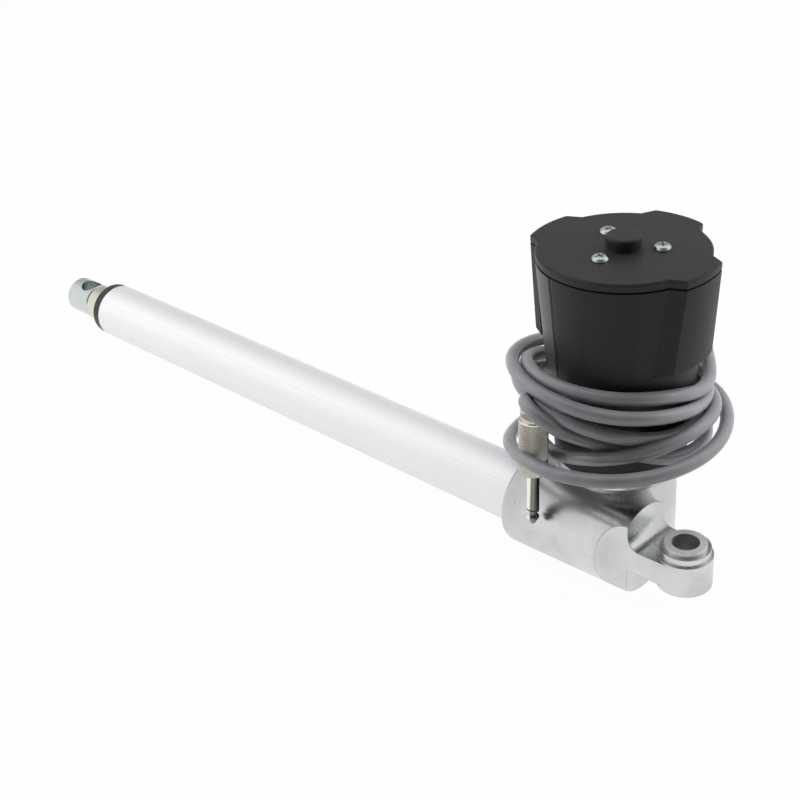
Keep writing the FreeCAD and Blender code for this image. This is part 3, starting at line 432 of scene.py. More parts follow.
def drawn_skin(paint: Paint, finish: Finish) -> None:
    """Drawn and anodised metal: hair lines along the draw, almost even in tone, and a few die lines.

    Args:
        paint: The material's tree.
        finish: Its tones and sizes.
    """
    hair = paint.noise(1.0, 3.0, paint.spread((5.0, 1.0 / finish.grain, 1.0 / finish.grain)))
    cloud = paint.noise(24.0, 2.0)
    _, y, z = paint.split(paint.place)
    tone = paint.blend(hair * 0.6 + cloud * 0.4, finish.colour, finish.second)
    tone, _ = paint.seamed(y.maths("ARCTAN2", z, y), finish.seams, tone, DIE_LINE_TONE)
    paint.shade({"Base Color": tone, "Metallic": finish.metal,
                 "Roughness": finish.rough + (hair - 0.5) * 0.16 + (cloud - 0.5) * 0.06},
                hair, finish.depth, finish.edge)


def moulded_skin(paint: Paint, finish: Finish) -> None:
    """Moulded plastic or rubber: an eroded grain, faint smears, specks of dust, and seams in the mould.

    Args:
        paint: The material's tree.
        finish: Its tones and sizes.
    """
    grain = paint.noise(1.0 / finish.grain, 3.0)
    smear = paint.step(paint.noise(1.0, 3.0, paint.spread((26.0, 26.0, 52.0))), 0.42, 0.74)
    dust = paint.specks(300.0, (0.05, 0.09), 60.0, (0.55, 0.62))
    x, y, _ = paint.split(paint.place)
    around = y.maths("ARCTAN2", y - MOTOR_AXIS[1], x - MOTOR_AXIS[0])
    tone = paint.blend(smear, finish.colour, finish.second)
    tone, seam = paint.seamed(around, finish.seams, tone, SEAM_TONE)
    lit = tuple(min(1.0, 2.2 * c + 0.02) for c in finish.second)
    paint.shade({"Base Color": paint.blend(dust * 0.5, tone, lit), "Specular IOR Level": finish.gloss,
                 "Roughness": finish.rough + (grain - 0.5) * 0.16 + smear * 0.07},
                grain - seam * SEAM_DEPTH, finish.depth, finish.edge)


def plated_skin(paint: Paint, finish: Finish) -> None:
    """Plated metal: soft cloudy tint over a very fine tooth, and painted shade in the grooves of a knurl.

    Args:
        paint: The material's tree.
        finish: Its tones and sizes.
    """
    cloud = paint.step(paint.noise(95.0, 3.0), 0.34, 0.68)
    tooth = paint.noise(1.0 / finish.grain, 2.0)
    # Painted shade: the knurl's grooves are darkened as if shade lay in them.
    groove = paint.node("ShaderNodeAttribute", {"attribute_name": "groove"}, out="Fac")
    tone = paint.blend(cloud, finish.colour, finish.second)
    paint.shade({"Base Color": paint.blend(groove, tone, KNURL_SHADE_TONE), "Metallic": finish.metal,
                 "Roughness": finish.rough + (tooth - 0.5) * 0.14 + (cloud - 0.5) * 0.08},
                tooth, finish.depth, finish.edge)


def polished_skin(paint: Paint, finish: Finish) -> None:
    """Bright plated pin: dark bands along one side are painted reflections of dark surroundings.

    Args:
        paint: The material's tree.
        finish: Its tones and sizes.
    """
    x, y, z = (each - at for each, at in zip(paint.split(paint.place), PIN_MIDDLE))
    across = (x * REFLECTION_BAND_SIDE[0] + (y + z * PIN_LEAN) * REFLECTION_BAND_SIDE[1]) / PIN_RADIUS
    # Painted reflection: two dark bands along the pin stand for the dark surroundings that a bright pin would
    # mirror.
    painted_reflection = paint.step(across, -0.68, -0.44) * 0.84 + paint.step(across, 0.0, 0.24) * 0.16
    cloud = paint.noise(160.0, 2.0)
    paint.shade({"Base Color": paint.blend(painted_reflection * (0.97 + (cloud - 0.5) * 0.1), finish.colour, finish.second),
                 "Metallic": finish.metal, "Roughness": finish.rough + (cloud - 0.5) * 0.06},
                cloud, finish.depth, finish.edge)


def chromated_skin(paint: Paint, finish: Finish) -> None:
    """Yellow chromate over zinc: straw, green and rose tints drift into each other.

    Args:
        paint: The material's tree.
        finish: Its tones and sizes.
    """
    drift = paint.noise(48.0, 3.0)
    other = paint.noise(70.0, 2.0, paint.spread((1.0, 1.4, 0.8), (0.6, 0.2, 0.9)))
    tooth = paint.noise(1.0, 2.0, paint.spread(finish.lay))
    straw = paint.blend(paint.step(drift, 0.38, 0.62), finish.colour, finish.second)
    tint = paint.blend(paint.step(other, 0.48, 0.72) * 0.5, straw, ROSE_TONE)
    paint.shade({"Base Color": tint, "Metallic": finish.metal,
                 "Roughness": finish.rough + (tooth - 0.5) * 0.18}, tooth, finish.depth, finish.edge)


def turned_skin(paint: Paint, finish: Finish) -> None:
    """Turned or ground steel: fine tool marks across the finish's lay, and painted shade on the wall of the
    eye's bore.

    Args:
        paint: The material's tree.
        finish: Its tones and sizes.
    """
    mark = paint.noise(1.0, 2.0, paint.spread(finish.lay))
    cloud = paint.noise(60.0, 3.0)
    tone = paint.blend(mark * 0.5 + cloud * 0.5, finish.colour, finish.second)
    if finish.bore:
        # Painted shade darkens the wall of the eye's bore.
        bore_shade = paint.groove(paint.reach(EYE_AXIS), finish.bore, 0.0004)
        tone = paint.blend(bore_shade * 0.62, tone, BORE_SHADE_TONE)
    paint.shade({"Base Color": tone, "Metallic": finish.metal,
                 "Roughness": finish.rough + (mark - 0.5) * 0.2 + (cloud - 0.5) * 0.06},
                mark, finish.depth, finish.edge)


def pressed_skin(paint: Paint, finish: Finish) -> None:
    """Pressed powder: grains of two tones with pores between them.

    Args:
        paint: The material's tree.
        finish: Its tones and sizes.
    """
    grain = paint.cells(1.0 / finish.grain)
    speck = paint.step(paint.noise(0.7 / finish.grain, 2.0), 0.45, 0.62)
    paint.shade({"Base Color": paint.blend(speck, finish.colour, finish.second), "Metallic": finish.metal,
                 "Roughness": finish.rough + (grain - 0.4) * 0.2}, 1.0 - grain, finish.depth, finish.edge)


def wound_skin(paint: Paint, finish: Finish) -> None:
    """Enamelled wire: rows of strands with a warm sheen.

    Args:
        paint: The material's tree.
        finish: Its tones and sizes.
    """
    strand = paint.node("ShaderNodeTexWave", {"wave_type": "BANDS", "bands_direction": "DIAGONAL"},
                        {"Vector": paint.place, "Scale": 0.16 / finish.grain, "Distortion": 1.2})
    cloud = paint.noise(140.0, 2.0)
    paint.shade({"Base Color": paint.blend(strand * 0.7 + cloud * 0.3, finish.second, finish.colour),
                 "Metallic": finish.metal, "Roughness": finish.rough + (cloud - 0.5) * 0.12},
                strand, finish.depth, finish.edge)


def laminated_skin(paint: Paint, finish: Finish) -> None:
    """Laminated board: paper fibres in a brown resin.

    Args:
        paint: The material's tree.
        finish: Its tones and sizes.
    """
    fibre = paint.noise(1.0, 3.0, paint.spread((420.0, 1600.0, 3000.0), (0.0, 0.0, 0.5)))
    paint.shade({"Base Color": paint.blend(fibre, finish.colour, finish.second),
                 "Roughness": finish.rough + (fibre - 0.5) * 0.2}, fibre, finish.depth, finish.edge)


def sheathed_skin(paint: Paint, finish: Finish) -> None:
    """Cable sheath: soft plastic with a faint bloom and handling marks.

    Args:
        paint: The material's tree.
        finish: Its tones and sizes.
    """
    bloom = paint.step(paint.noise(70.0, 3.0), 0.36, 0.70)
    tooth = paint.noise(1.0 / finish.grain, 2.0)
    scuff = paint.step(paint.noise(1.0, 2.0, paint.spread((160.0, 160.0, 900.0))), 0.62, 0.78)
    tone = paint.blend(bloom, finish.colour, finish.second)
    paint.shade({"Base Color": tone, "Specular IOR Level": finish.gloss,
                 "Roughness": finish.rough + (tooth - 0.5) * 0.12 + scuff * 0.10 - bloom * 0.04},
                tooth + scuff * 0.4, finish.depth)


RECIPES: dict[Surface, Callable[[Paint, Finish], None]] = {
    Surface.CAST: cast_skin, Surface.DRAWN: drawn_skin, Surface.MOULDED: moulded_skin,
    Surface.PLATED: plated_skin, Surface.POLISHED: polished_skin,
    Surface.CHROMATED: chromated_skin, Surface.TURNED: turned_skin,
    Surface.PRESSED: pressed_skin, Surface.WOUND: wound_skin, Surface.LAMINATED: laminated_skin,
    Surface.SHEATHED: sheathed_skin,
}

ACROSS_X: Point = (2600.0, 60.0, 60.0)
ACROSS_Z: Point = (60.0, 60.0, 2600.0)

FINISHES: tuple[Finish, ...] = (
    Finish("cast_aluminium", Surface.CAST, (0.71, 0.72, 0.725), (0.55, 0.56, 0.565), 0.30, 1.0, 0.0005,
           0.000022, 0.0007),
    Finish("anodised_aluminium", Surface.DRAWN, (0.90, 0.90, 0.91), (0.83, 0.84, 0.85), 0.40, 0.75, 0.0006,
           0.000006, 0.0003,
           seams=((44.7, 0.014, 0.352), *((angle, 0.016, 0.132) for angle in (91.7, 104.9, 110.0, 117.5)))),
    Finish("black_plastic", Surface.MOULDED, (0.017, 0.017, 0.018), (0.023, 0.023, 0.024), 0.46,
           grain=0.00045, depth=0.00002, edge=0.0006, gloss=0.28),
    Finish("cover_plastic", Surface.MOULDED, (0.014, 0.014, 0.015), (0.020, 0.020, 0.021), 0.46,
           grain=0.00045, depth=0.00002, edge=0.0006, gloss=0.25,
           seams=((73.0, 0.026, 0.95), (99.2, 0.010, 0.5), (133.3, 0.010, 0.5))),
    # The panel's lighter tone is partly its own and partly a painted sheen standing in for a lamp's
    # reflection on that side.
    Finish("panel_plastic_painted_sheen", Surface.MOULDED, (0.036, 0.036, 0.037), (0.046, 0.046, 0.047), 0.42,
           grain=0.00045, depth=0.00002, edge=0.0006, gloss=0.6),
    Finish("black_ring", Surface.MOULDED, (0.013, 0.013, 0.014), (0.019, 0.019, 0.020), 0.36,
           grain=0.0006, depth=0.000008, edge=0.0004),
    Finish("bright_zinc", Surface.PLATED, (0.60, 0.66, 0.67), (0.68, 0.70, 0.68), 0.22, 1.0, 0.0004,
           0.000006, 0.0004),
    Finish("chromate_steel", Surface.CHROMATED, (0.75, 0.72, 0.59), (0.70, 0.73, 0.63), 0.22, 1.0, 0.0004,
           0.000004, 0.0003, ACROSS_X),
    Finish("plain_steel", Surface.TURNED, (0.74, 0.75, 0.75), (0.62, 0.63, 0.63), 0.44, 1.0, 0.0004,
           0.000008, 0.0004, ACROSS_Z),
    Finish("bush_steel", Surface.TURNED, (0.84, 0.85, 0.85), (0.72, 0.73, 0.73), 0.38, 0.62, 0.0004,
           0.000008, 0.0004, ACROSS_Z, bore=0.00675),
    Finish("bearing_steel", Surface.TURNED, (0.66, 0.67, 0.69), (0.58, 0.59, 0.61), 0.16, 1.0, 0.0004,
           0.000003, 0.0003, ACROSS_X),
    Finish("bronze", Surface.PRESSED, (0.58, 0.39, 0.18), (0.44, 0.28, 0.12), 0.42, 0.9, 0.0005,
           0.00002, 0.0003),
    Finish("copper", Surface.WOUND, (0.74, 0.35, 0.17), (0.40, 0.15, 0.06), 0.30, 0.85, 0.0006, 0.00010, 0.0),
    Finish("gear_nylon", Surface.MOULDED, (0.78, 0.75, 0.64), (0.71, 0.67, 0.55), 0.45, grain=0.0006,
           depth=0.000015, edge=0.0003),
    Finish("ferrite", Surface.PRESSED, (0.06, 0.06, 0.065), (0.10, 0.10, 0.11), 0.62, 0.1, 0.0005,
           0.00003, 0.0005),
    Finish("carbon", Surface.PRESSED, (0.022, 0.022, 0.022), (0.09, 0.085, 0.08), 0.50, 0.3, 0.0003,
           0.00002, 0.0003),
    Finish("phenolic", Surface.LAMINATED, (0.30, 0.16, 0.07), (0.20, 0.10, 0.045), 0.46, depth=0.00002),
    Finish("seal_rubber", Surface.MOULDED, (0.016, 0.016, 0.016), (0.028, 0.028, 0.028), 0.66, grain=0.0004,
           depth=0.00002, edge=0.0003),
    Finish("grey_cable", Surface.SHEATHED, (0.200, 0.204, 0.217), (0.234, 0.238, 0.252), 0.33, grain=0.0004,
           depth=0.000006, gloss=0.75),
    Finish("nickel", Surface.PLATED, (0.80, 0.77, 0.69), (0.70, 0.67, 0.59), 0.17, 1.0, 0.0005,
           0.000004, 0.0002),
    # The pin's second tone is the dark of its painted reflections.
    Finish("pin_nickel", Surface.POLISHED, (0.90, 0.87, 0.80), (0.050, 0.046, 0.037), 0.14, 1.0,
           depth=0.000004, edge=0.0002),
    # The collar's tones are partly its pale plating and partly a painted shadow of the cable's turns above
    # it.
    Finish("cream_collar", Surface.PLATED, (0.48, 0.46, 0.39), (0.38, 0.36, 0.30), 0.20, 0.9, 0.0005,
           0.000004, 0.0003),
    Finish("plug_insulation", Surface.MOULDED, (0.012, 0.012, 0.012), (0.02, 0.02, 0.02), 0.30, grain=0.0005,
           depth=0.000004, edge=0.0001),
)

# Solids whose finish is finer than the one that their slot names, or carries painted light: the panel's
# sheen, the pin's reflections and the shade in the eye's bore.
TONES: dict[str, str] = {"motor_cover": "cover_plastic", "duct_panel": "panel_plastic_painted_sheen",
                         "eye_bush": "bush_steel", "plug_tip": "pin_nickel", "plug_sleeve": "pin_nickel"}


class Workshop:
    """The finishes as materials, and the steps that every new piece goes through."""

    def __init__(self) -> None:
        """Paint every finish once."""
        self.materials = {finish.slot: finish.material() for finish in FINISHES}

    def dress_solids(self) -> None:
        """Give each carried-over solid the material of its slot."""
        for part in frame["record"]["subparts"]:
            solid = frame["nodes"][part["node"]]
            solid.data.materials.clear()
            solid.data.materials.append(self.materials[TONES.get(part["node"], part["material_slot"])])

    def settle(self, piece: bpy.types.Object, slot: str, body: str, *nodes: str) -> bpy.types.Object:
        """Tie a finished piece to its body, finish and solids.

        Args:
            piece: The new piece, at the origin.
            slot: The record's material slot.
            body: The body that it rides on.
            nodes: The solids that it stands for.

        Returns:
            The piece.
        """
        if not piece.data.materials:
            piece.data.materials.append(self.materials[slot])
        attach(piece, body)
        if nodes:
            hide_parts(*nodes)
        LOG.info("%s on %s", piece.name, body)
        return piece


def new_object(name: str, data: Any) -> bpy.types.Object:
    """Put data into the scene.

    Args:
        name: The object's name.
        data: A mesh, curve, camera or light.

    Returns:
        The object, at the origin.
    """
    made = bpy.data.objects.new(name, data)
    bpy.context.scene.collection.objects.link(made)
    return made


def smooth(mesh: bpy.types.Mesh, angle: float = 34.0) -> bpy.types.Mesh:
    """Shade a mesh smooth, but for its sharp edges.

    Args:
        mesh: The mesh.
        angle: Degrees from which an edge is sharp.

    Returns:
        The mesh.
    """
    mesh.polygons.foreach_set("use_smooth", [True] * len(mesh.polygons))
    mesh.set_sharp_from_angle(angle=math.radians(angle))
    return mesh


def turned(name: str, profile: Profile, sides: int = 72, place: Optional[Matrix] = None) -> bpy.types.Mesh:
    """Turn a profile round Z.

    Args:
        name: The mesh's name.
        profile: Radius and height of each point; a closed wall, or ends on the axis.
        sides: Faces round the axis.
        place: Where the turned shape goes.

    Returns:
        A closed mesh whose faces point outwards.
    """
    form = bmesh.new()
    rings = []
    for radius, height in profile:
        if radius == 0.0:
            rings.append([form.verts.new((0.0, 0.0, height))] * sides)
        else:
            angles = (2.0 * math.pi * k / sides for k in range(sides))
            rings.append([form.verts.new((radius * math.cos(a), radius * math.sin(a), height))
                          for a in angles])
    ends = profile[0][0] == 0.0 and profile[-1][0] == 0.0
    pairs = list(zip(rings, rings[1:])) + ([] if ends else [(rings[-1], rings[0])])
    for low, high in pairs:
        for k in range(sides):
            corners = dict.fromkeys((low[k], low[(k + 1) % sides], high[(k + 1) % sides], high[k]))
            form.faces.new(list(corners))
    bmesh.ops.recalc_face_normals(form, faces=form.faces)
    mesh = bpy.data.meshes.new(name)
    form.to_mesh(mesh)
    form.free()
    if place:
        mesh.transform(place)
    return smooth(mesh)


class Pattern(Net):
    """A Geometry Nodes tree with named sizes, made into a plain mesh."""

    def __init__(self, name: str, sizes: dict[str, Any]) -> None:
        """Start a tree.

        Args:
            name: The tree's name.
            sizes: Its named inputs, whole numbers or lengths.
        """
        super().__init__(bpy.data.node_groups.new(name, "GeometryNodeTree"))
        self.sizes = sizes
        sockets = self.tree.interface
        sockets.new_socket("Geometry", in_out="INPUT", socket_type="NodeSocketGeometry")
        for label, size in sizes.items():
            kind = "NodeSocketInt" if isinstance(size, int) else "NodeSocketFloat"
            sockets.new_socket(label, in_out="INPUT", socket_type=kind)
        sockets.new_socket("Geometry", in_out="OUTPUT", socket_type="NodeSocketGeometry")
        self.inputs = self.tree.nodes.new("NodeGroupInput")

    def size(self, label: str) -> Value:
        """One of the tree's inputs."""
        return Value(self, self.inputs.outputs[label])

    def vector(self, x: Any, y: Any, z: Any) -> Value:
        """Put a vector together."""
        return self.node("ShaderNodeCombineXYZ", {}, {0: x, 1: y, 2: z})

    def moved(self, shape: Value, shift: Any = (0.0, 0.0, 0.0), turn: Any = (0.0, 0.0, 0.0)) -> Value:
        """A shape turned, then shifted."""
        return self.node("GeometryNodeTransform", {},
                         {"Geometry": shape, "Translation": shift, "Rotation": turn})

    def joined(self, *shapes: Value) -> Value:
        """Several shapes as one."""
        return self.node("GeometryNodeJoinGeometry", {}, {0: list(shapes)})

    def band(self) -> Value:
        """An open cylinder on Z, by the sizes Radius, Length, Around and Along."""
        return self.node("GeometryNodeMeshCylinder", {"fill_type": "NONE"},
                         {"Vertices": self.size("Around"), "Side Segments": self.size("Along"),
                          "Radius": self.size("Radius"), "Depth": self.size("Length")})

    def sunk(self, band: Value, share: Value) -> Value:
        """Sink a relief into a band and join the band to the tree's base.

        Args:
            band: The band, which is lifted to the size Middle.
            share: How far each point goes in, in shares of the size Depth.

        Returns:
            Base and band as one shape.
        """
        x, y, _ = self.split(self.node("GeometryNodeInputPosition"))
        inward = share * (self.size("Depth") / self.size("Radius")) * -1.0
        cut = self.node("GeometryNodeSetPosition", {},
                        {"Geometry": band, "Offset": self.vector(x * inward, y * inward, 0.0)})
        lifted = self.moved(cut, self.vector(0.0, 0.0, self.size("Middle")))
        return self.joined(self.size("Geometry"), lifted)

    def bake(self, name: str, result: Value, material: bpy.types.Material,
             base: Optional[bpy.types.Mesh] = None, place: Optional[Matrix] = None) -> bpy.types.Object:
        """Close the tree and turn what it makes into a plain mesh.

        Args:
            name: The piece's name.
            result: The tree's last shape.
            material: The piece's material.
            base: The mesh that the tree starts from.
            place: Where the result goes.

        Returns:
            The piece, with no modifier left on it.
        """
        real = self.node("GeometryNodeRealizeInstances", {}, {0: result})
        done = self.node("GeometryNodeSetMaterial", {}, {"Geometry": real, "Material": material})
        output = self.tree.nodes.new("NodeGroupOutput")
        self.tree.links.new(done.socket, output.inputs[0])
        source = new_object(name + ".source", base or bpy.data.meshes.new(name + ".base"))
        modifier = source.modifiers.new("pattern", "NODES")
        modifier.node_group = self.tree
        for item in self.tree.interface.items_tree:
            if item.in_out == "INPUT" and item.name in self.sizes:
                modifier[item.identifier] = self.sizes[item.name]
        shown = source.evaluated_get(bpy.context.evaluated_depsgraph_get())
        mesh = bpy.data.meshes.new_from_object(shown)
        source.modifiers.remove(modifier)
        bpy.data.objects.remove(source)
        mesh.name = name
        if place:
            mesh.transform(place)
        return new_object(name, smooth(mesh))


@dataclass(frozen=True)
class SoftBox:
    """One soft box, placed from the middle of the drive.

    Attributes:
        name: The lamp's name.
        aside: How far it stands to the camera's right.
        beyond: How far it stands over the drive, away from the camera.
        shift: How far it is moved along the frame's axes.
        size: Length of its sides.
        power: Its power in watts.
    """

    name: str
    aside: float
    beyond: float
    shift: Point
    size: float
    power: float


@dataclass
class Studio:
    """Camera, light, and the pale floor under the drive.

    Attributes:
        eye: Where the camera stands. Its azimuth, elevation and roll are in degrees.
        lens: Focal length in millimetres, on a sensor of that width.
        ambient: Share of the surroundings that lights matt surfaces.
        dim: How much darker the surroundings are on the camera's side.
        far_dim: How much darker they are beyond the drive.
        middle: What the soft boxes point at.
        floor_half: Half the floor's width.
        boxes: The soft boxes.
    """

    eye: Point = (-0.319009, 0.494396, 0.434194)
    azimuth: float = 225.923
    elevation: float = 29.926
    roll: float = -4.088
    lens: float = 65.57
    sensor: float = 36.0
    ambient: float = 0.42
    dim: float = 0.85
    far_dim: float = 0.47
    middle: Point = (0.15, 0.0, 0.04)
    floor_half: float = 4.0
    boxes: tuple[SoftBox, ...] = (
        SoftBox("left_box", -0.95, 0.30, (0.0, 0.0, 0.55), 0.9, 13.0),
        SoftBox("right_box", 0.95, 0.30, (0.0, 0.0, 0.50), 0.9, 13.0),
        SoftBox("top_box", 0.0, 0.0, (0.1, -0.15, 1.25), 1.1, 7.0),
    )

    def axes(self) -> tuple[Vector, Vector, Vector]:
        """Work out how the camera is turned.

        Returns:
            Its right, up and back directions.
        """
        a, e, r = (math.radians(x) for x in (self.azimuth, self.elevation, self.roll))
        back = Vector((math.sin(a) * math.cos(e), -math.cos(a) * math.cos(e), math.sin(e)))
        right = Vector((0.0, 0.0, 1.0)).cross(back).normalized()
        up = back.cross(right)
        return (right * math.cos(r) + up * math.sin(r), up * math.cos(r) - right * math.sin(r), back)

    def build_camera(self) -> None:
        """Stand the camera where the photograph was taken from."""
        data = bpy.data.cameras.new("camera")
        data.lens, data.sensor_width, data.clip_start = self.lens, self.sensor, 0.01
        camera = new_object("camera", data)
        turn = Matrix(self.axes()).transposed().to_4x4()
        camera.matrix_world = Matrix.Translation(self.eye) @ turn
        bpy.context.scene.camera = camera

    def build_world(self) -> None:
        """White surroundings, dimmer on the camera's side and beyond the drive."""
        world = bpy.data.worlds.new("studio")
        world.use_nodes = True
        bpy.context.scene.world = world
        net = Net(world.node_tree)
        camera, mirrored = net.rays()
        toward = net.node("ShaderNodeTexCoord", out="Generated")
        back = self.axes()[2]
        beyond = Vector((-back.x, -back.y, 0.0)).normalized()
        near = 1.0 - net.step(net.dot(toward, tuple(back)), 0.30, 0.95) * self.dim
        far = 1.0 - net.step(net.dot(toward, tuple(beyond)), 0.25, 0.85) * self.far_dim
        level = near * far * (mirrored + (1.0 - mirrored) * self.ambient)
        strength = camera + (1.0 - camera) * level
        sky = next(n for n in net.tree.nodes if n.type == "BACKGROUND")
        sky.inputs["Color"].default_value = (1.0, 1.0, 1.0, 1.0)
        net.tree.links.new(strength.socket, sky.inputs["Strength"])

    def build_floor(self) -> None:
        """A white floor that still takes the drive's shadow."""
        half, level = self.floor_half, SOLID_BOX[0].z
        corners = ((-half, -half), (half, -half), (half, half), (-half, half))
        mesh = bpy.data.meshes.new("floor")
        mesh.from_pydata([(x, y, level) for x, y in corners], [], [(0, 1, 2, 3)])
        paint = Paint("floor")
        camera, mirrored = paint.rays()
        seen = camera.maths("MAXIMUM", camera, mirrored)
        paint.shade({"Base Color": (0.6, 0.6, 0.6, 1.0), "Roughness": 0.9, "Specular IOR Level": 0.0})
        glow = paint.node("ShaderNodeEmission", {}, {"Color": (1.0, 1.0, 1.0, 1.0), "Strength": 1.0})
        mixed = paint.node("ShaderNodeMixShader", {},
                           {0: seen * 0.97, 1: Value(paint, paint.shader.outputs[0]), 2: glow})
        end = next(n for n in paint.tree.nodes if n.type == "OUTPUT_MATERIAL")
        paint.tree.links.new(mixed.socket, end.inputs["Surface"])
        mesh.materials.append(paint.material)
        new_object("floor", mesh)

    def build_lamps(self) -> None:
        """Hang the soft boxes, each turned to the middle of the drive."""
        right, _, back = self.axes()
        beyond = Vector((-back.x, -back.y, 0.0))
        for box in self.boxes:
            data = bpy.data.lights.new(box.name, "AREA")
            data.size, data.energy = box.size, box.power
            lamp = new_object(box.name, data)
            lamp.visible_glossy = False
            away = right * box.aside + beyond * box.beyond + Vector(box.shift)
            turn = away.to_track_quat("Z", "Y").to_matrix().to_4x4()
            lamp.matrix_world = Matrix.Translation(Vector(self.middle) + away) @ turn

    def build(self) -> None:
        """Set up everything that isn't the drive."""
        bpy.context.scene.view_settings.view_transform = "Standard"
        self.build_camera()
        self.build_world()
        self.build_floor()
        self.build_lamps()


@dataclass
class JackPlug:
    """The plug on the cable's end, standing almost upright beside the turns.

    Lengths along it count from its contact tip, and both angles of its lean are in degrees.
    """

    tip: Point = (0.07175, 0.02905, 0.0096)
    lean: float = 3.9
    lean_angle: float = -70.0
    collar_from: float = 0.0287
    pin_radius: float = 0.0033
    shell_from: float = 0.0360
    cap_from: float = 0.0600
    length: float = 0.0650
    collar_radius: float = 0.0072
    shell_radius: float = 0.0075
    cap_radius: float = 0.0067
    cable_radius: float = 0.0035
    teeth: int = 44
    tooth_depth: float = 0.00048
    tooth_steps: int = 6
    soft: float = 0.0004

    def place(self) -> Matrix:
        """Work out where the plug stands.

        Returns:
            The turn and shift that bring the axis Z to the plug's own, from its contact tip up.
        """
        aside = math.radians(self.lean_angle)
        hinge = Vector((-math.sin(aside), math.cos(aside), 0.0))
        return Matrix.Translation(self.tip) @ Matrix.Rotation(math.radians(self.lean), 4, hinge)

    def along(self, distance: float) -> Vector:
        """A point on the axis at that distance from the tip."""
        return self.place() @ Vector((0.0, 0.0, distance))

    def knurled(self, name: str, shop: Workshop, rims: bpy.types.Mesh, radius: float, low: float,
                high: float) -> bpy.types.Object:
        """A turned piece with a knurled band.

        Args:
            name: The piece's name.
            shop: Where the materials are.
            rims: The turned form, bare where the band goes.
            radius: Radius over the teeth.
            low: Lower end of the band along the axis.
            high: Upper end of the band.

        Returns:
            The piece in its place.
        """
        pitch = 2.0 * math.pi * radius / self.teeth
        net = Pattern(name, {"Radius": radius, "Length": high - low, "Middle": (low + high) / 2.0,
                             "Teeth": self.teeth, "Pitch": pitch, "Depth": self.tooth_depth,
                             "Around": self.teeth * self.tooth_steps,
                             "Along": round((high - low) / pitch * self.tooth_steps)})
        x, y, z = net.split(net.node("GeometryNodeInputPosition"))
        around = y.maths("ARCTAN2", y, x) * (net.size("Teeth") / (2.0 * math.pi))
        along = z / net.size("Pitch")
        left, right = (around + along).ridge(), (around - along).ridge()
        groove = 1.0 - left.maths("MINIMUM", left, right)
        # The groove attribute marks where the plated material paints shade into the knurl's grooves.
        marked = net.node("GeometryNodeStoreNamedAttribute", {"data_type": "FLOAT", "domain": "POINT"},
                          {"Geometry": net.band(), "Name": "groove", "Value": net.step(groove, 0.45, 1.0)})
        return net.bake(name, net.sunk(marked, groove), shop.materials["nickel"], rims, self.place())

    def build_shell(self, shop: Workshop) -> bpy.types.Object:
        """Make the knurled shell between its plain rims.

        Args:
            shop: Where the materials are.

        Returns:
            The shell.
        """
        r, low, high, soft = self.shell_radius, self.shell_from, self.cap_from, self.soft
        root = r - self.tooth_depth
        rims = turned("plug_shell.rims", [
            (0.0, low), (r - soft, low), (r, low + soft), (r, low + 0.0014), (root, low + 0.0017),
            (root, high - 0.0022), (r, high - 0.0019), (r, high - 0.0012), (r - 0.0003, high - 0.0009),
            (r - 0.0011, high - 0.0007), (r - 0.0011, high), (0.0, high)])
        return self.knurled("plug_knurled_shell", shop, rims, r, low + 0.0015, high - 0.0020)

    def build_cap(self, shop: Workshop) -> bpy.types.Object:
        """Make the knurled cap that the cable goes into.

        Args:
            shop: Where the materials are.

        Returns:
            The cap.
        """
        r, low, high, hole = self.cap_radius, self.cap_from, self.length, self.cable_radius
        root = r - self.tooth_depth
        rims = turned("plug_cap.rims", [
            (0.0, low), (r - 0.0006, low), (r, low + 0.0005), (r, low + 0.0008), (root, low + 0.0010),
            (root, high - 0.0014), (r, high - 0.0012), (r - 0.0003, high - 0.0006),
            (r - 0.0012, high - 0.0001), (r - 0.0018, high), (hole, high), (hole, high - 0.0012),
            (0.0, high - 0.0012)])
        return self.knurled("plug_knurled_cap", shop, rims, r, low + 0.0009, high - 0.0013)

    def build_collar(self) -> bpy.types.Object:
        """Make the smooth collar round the root of the contact pin.

        Returns:
            The collar.
        """
        r, low, high, hole = self.collar_radius, self.collar_from, self.shell_from, self.pin_radius
        ring = turned("plug_turned_collar", [
            (hole, low), (r - 0.0022, low), (r - 0.0010, low + 0.0002), (r - 0.0003, low + 0.0008),
            (r, low + 0.0016), (r, high - 0.0012), (r - 0.0002, high - 0.0008), (r - 0.0007, high - 0.0007),
            (r - 0.0007, high), (hole, high)], place=self.place())
        return new_object("plug_turned_collar", ring)

    def build(self, shop: Workshop) -> list[bpy.types.Object]:
        """Make the plug's body.

        Args:
            shop: Where the materials are.

        Returns:
            Collar, shell and cap.
        """
        shell, cap, collar = self.build_shell(shop), self.build_cap(shop), self.build_collar()
        shop.settle(shell, "nickel", "housing", "plug_shell")
        shop.settle(cap, "nickel", "housing", "plug_cap")
        shop.settle(collar, "cream_collar", "housing", "plug_collar")
        return [collar, shell, cap]


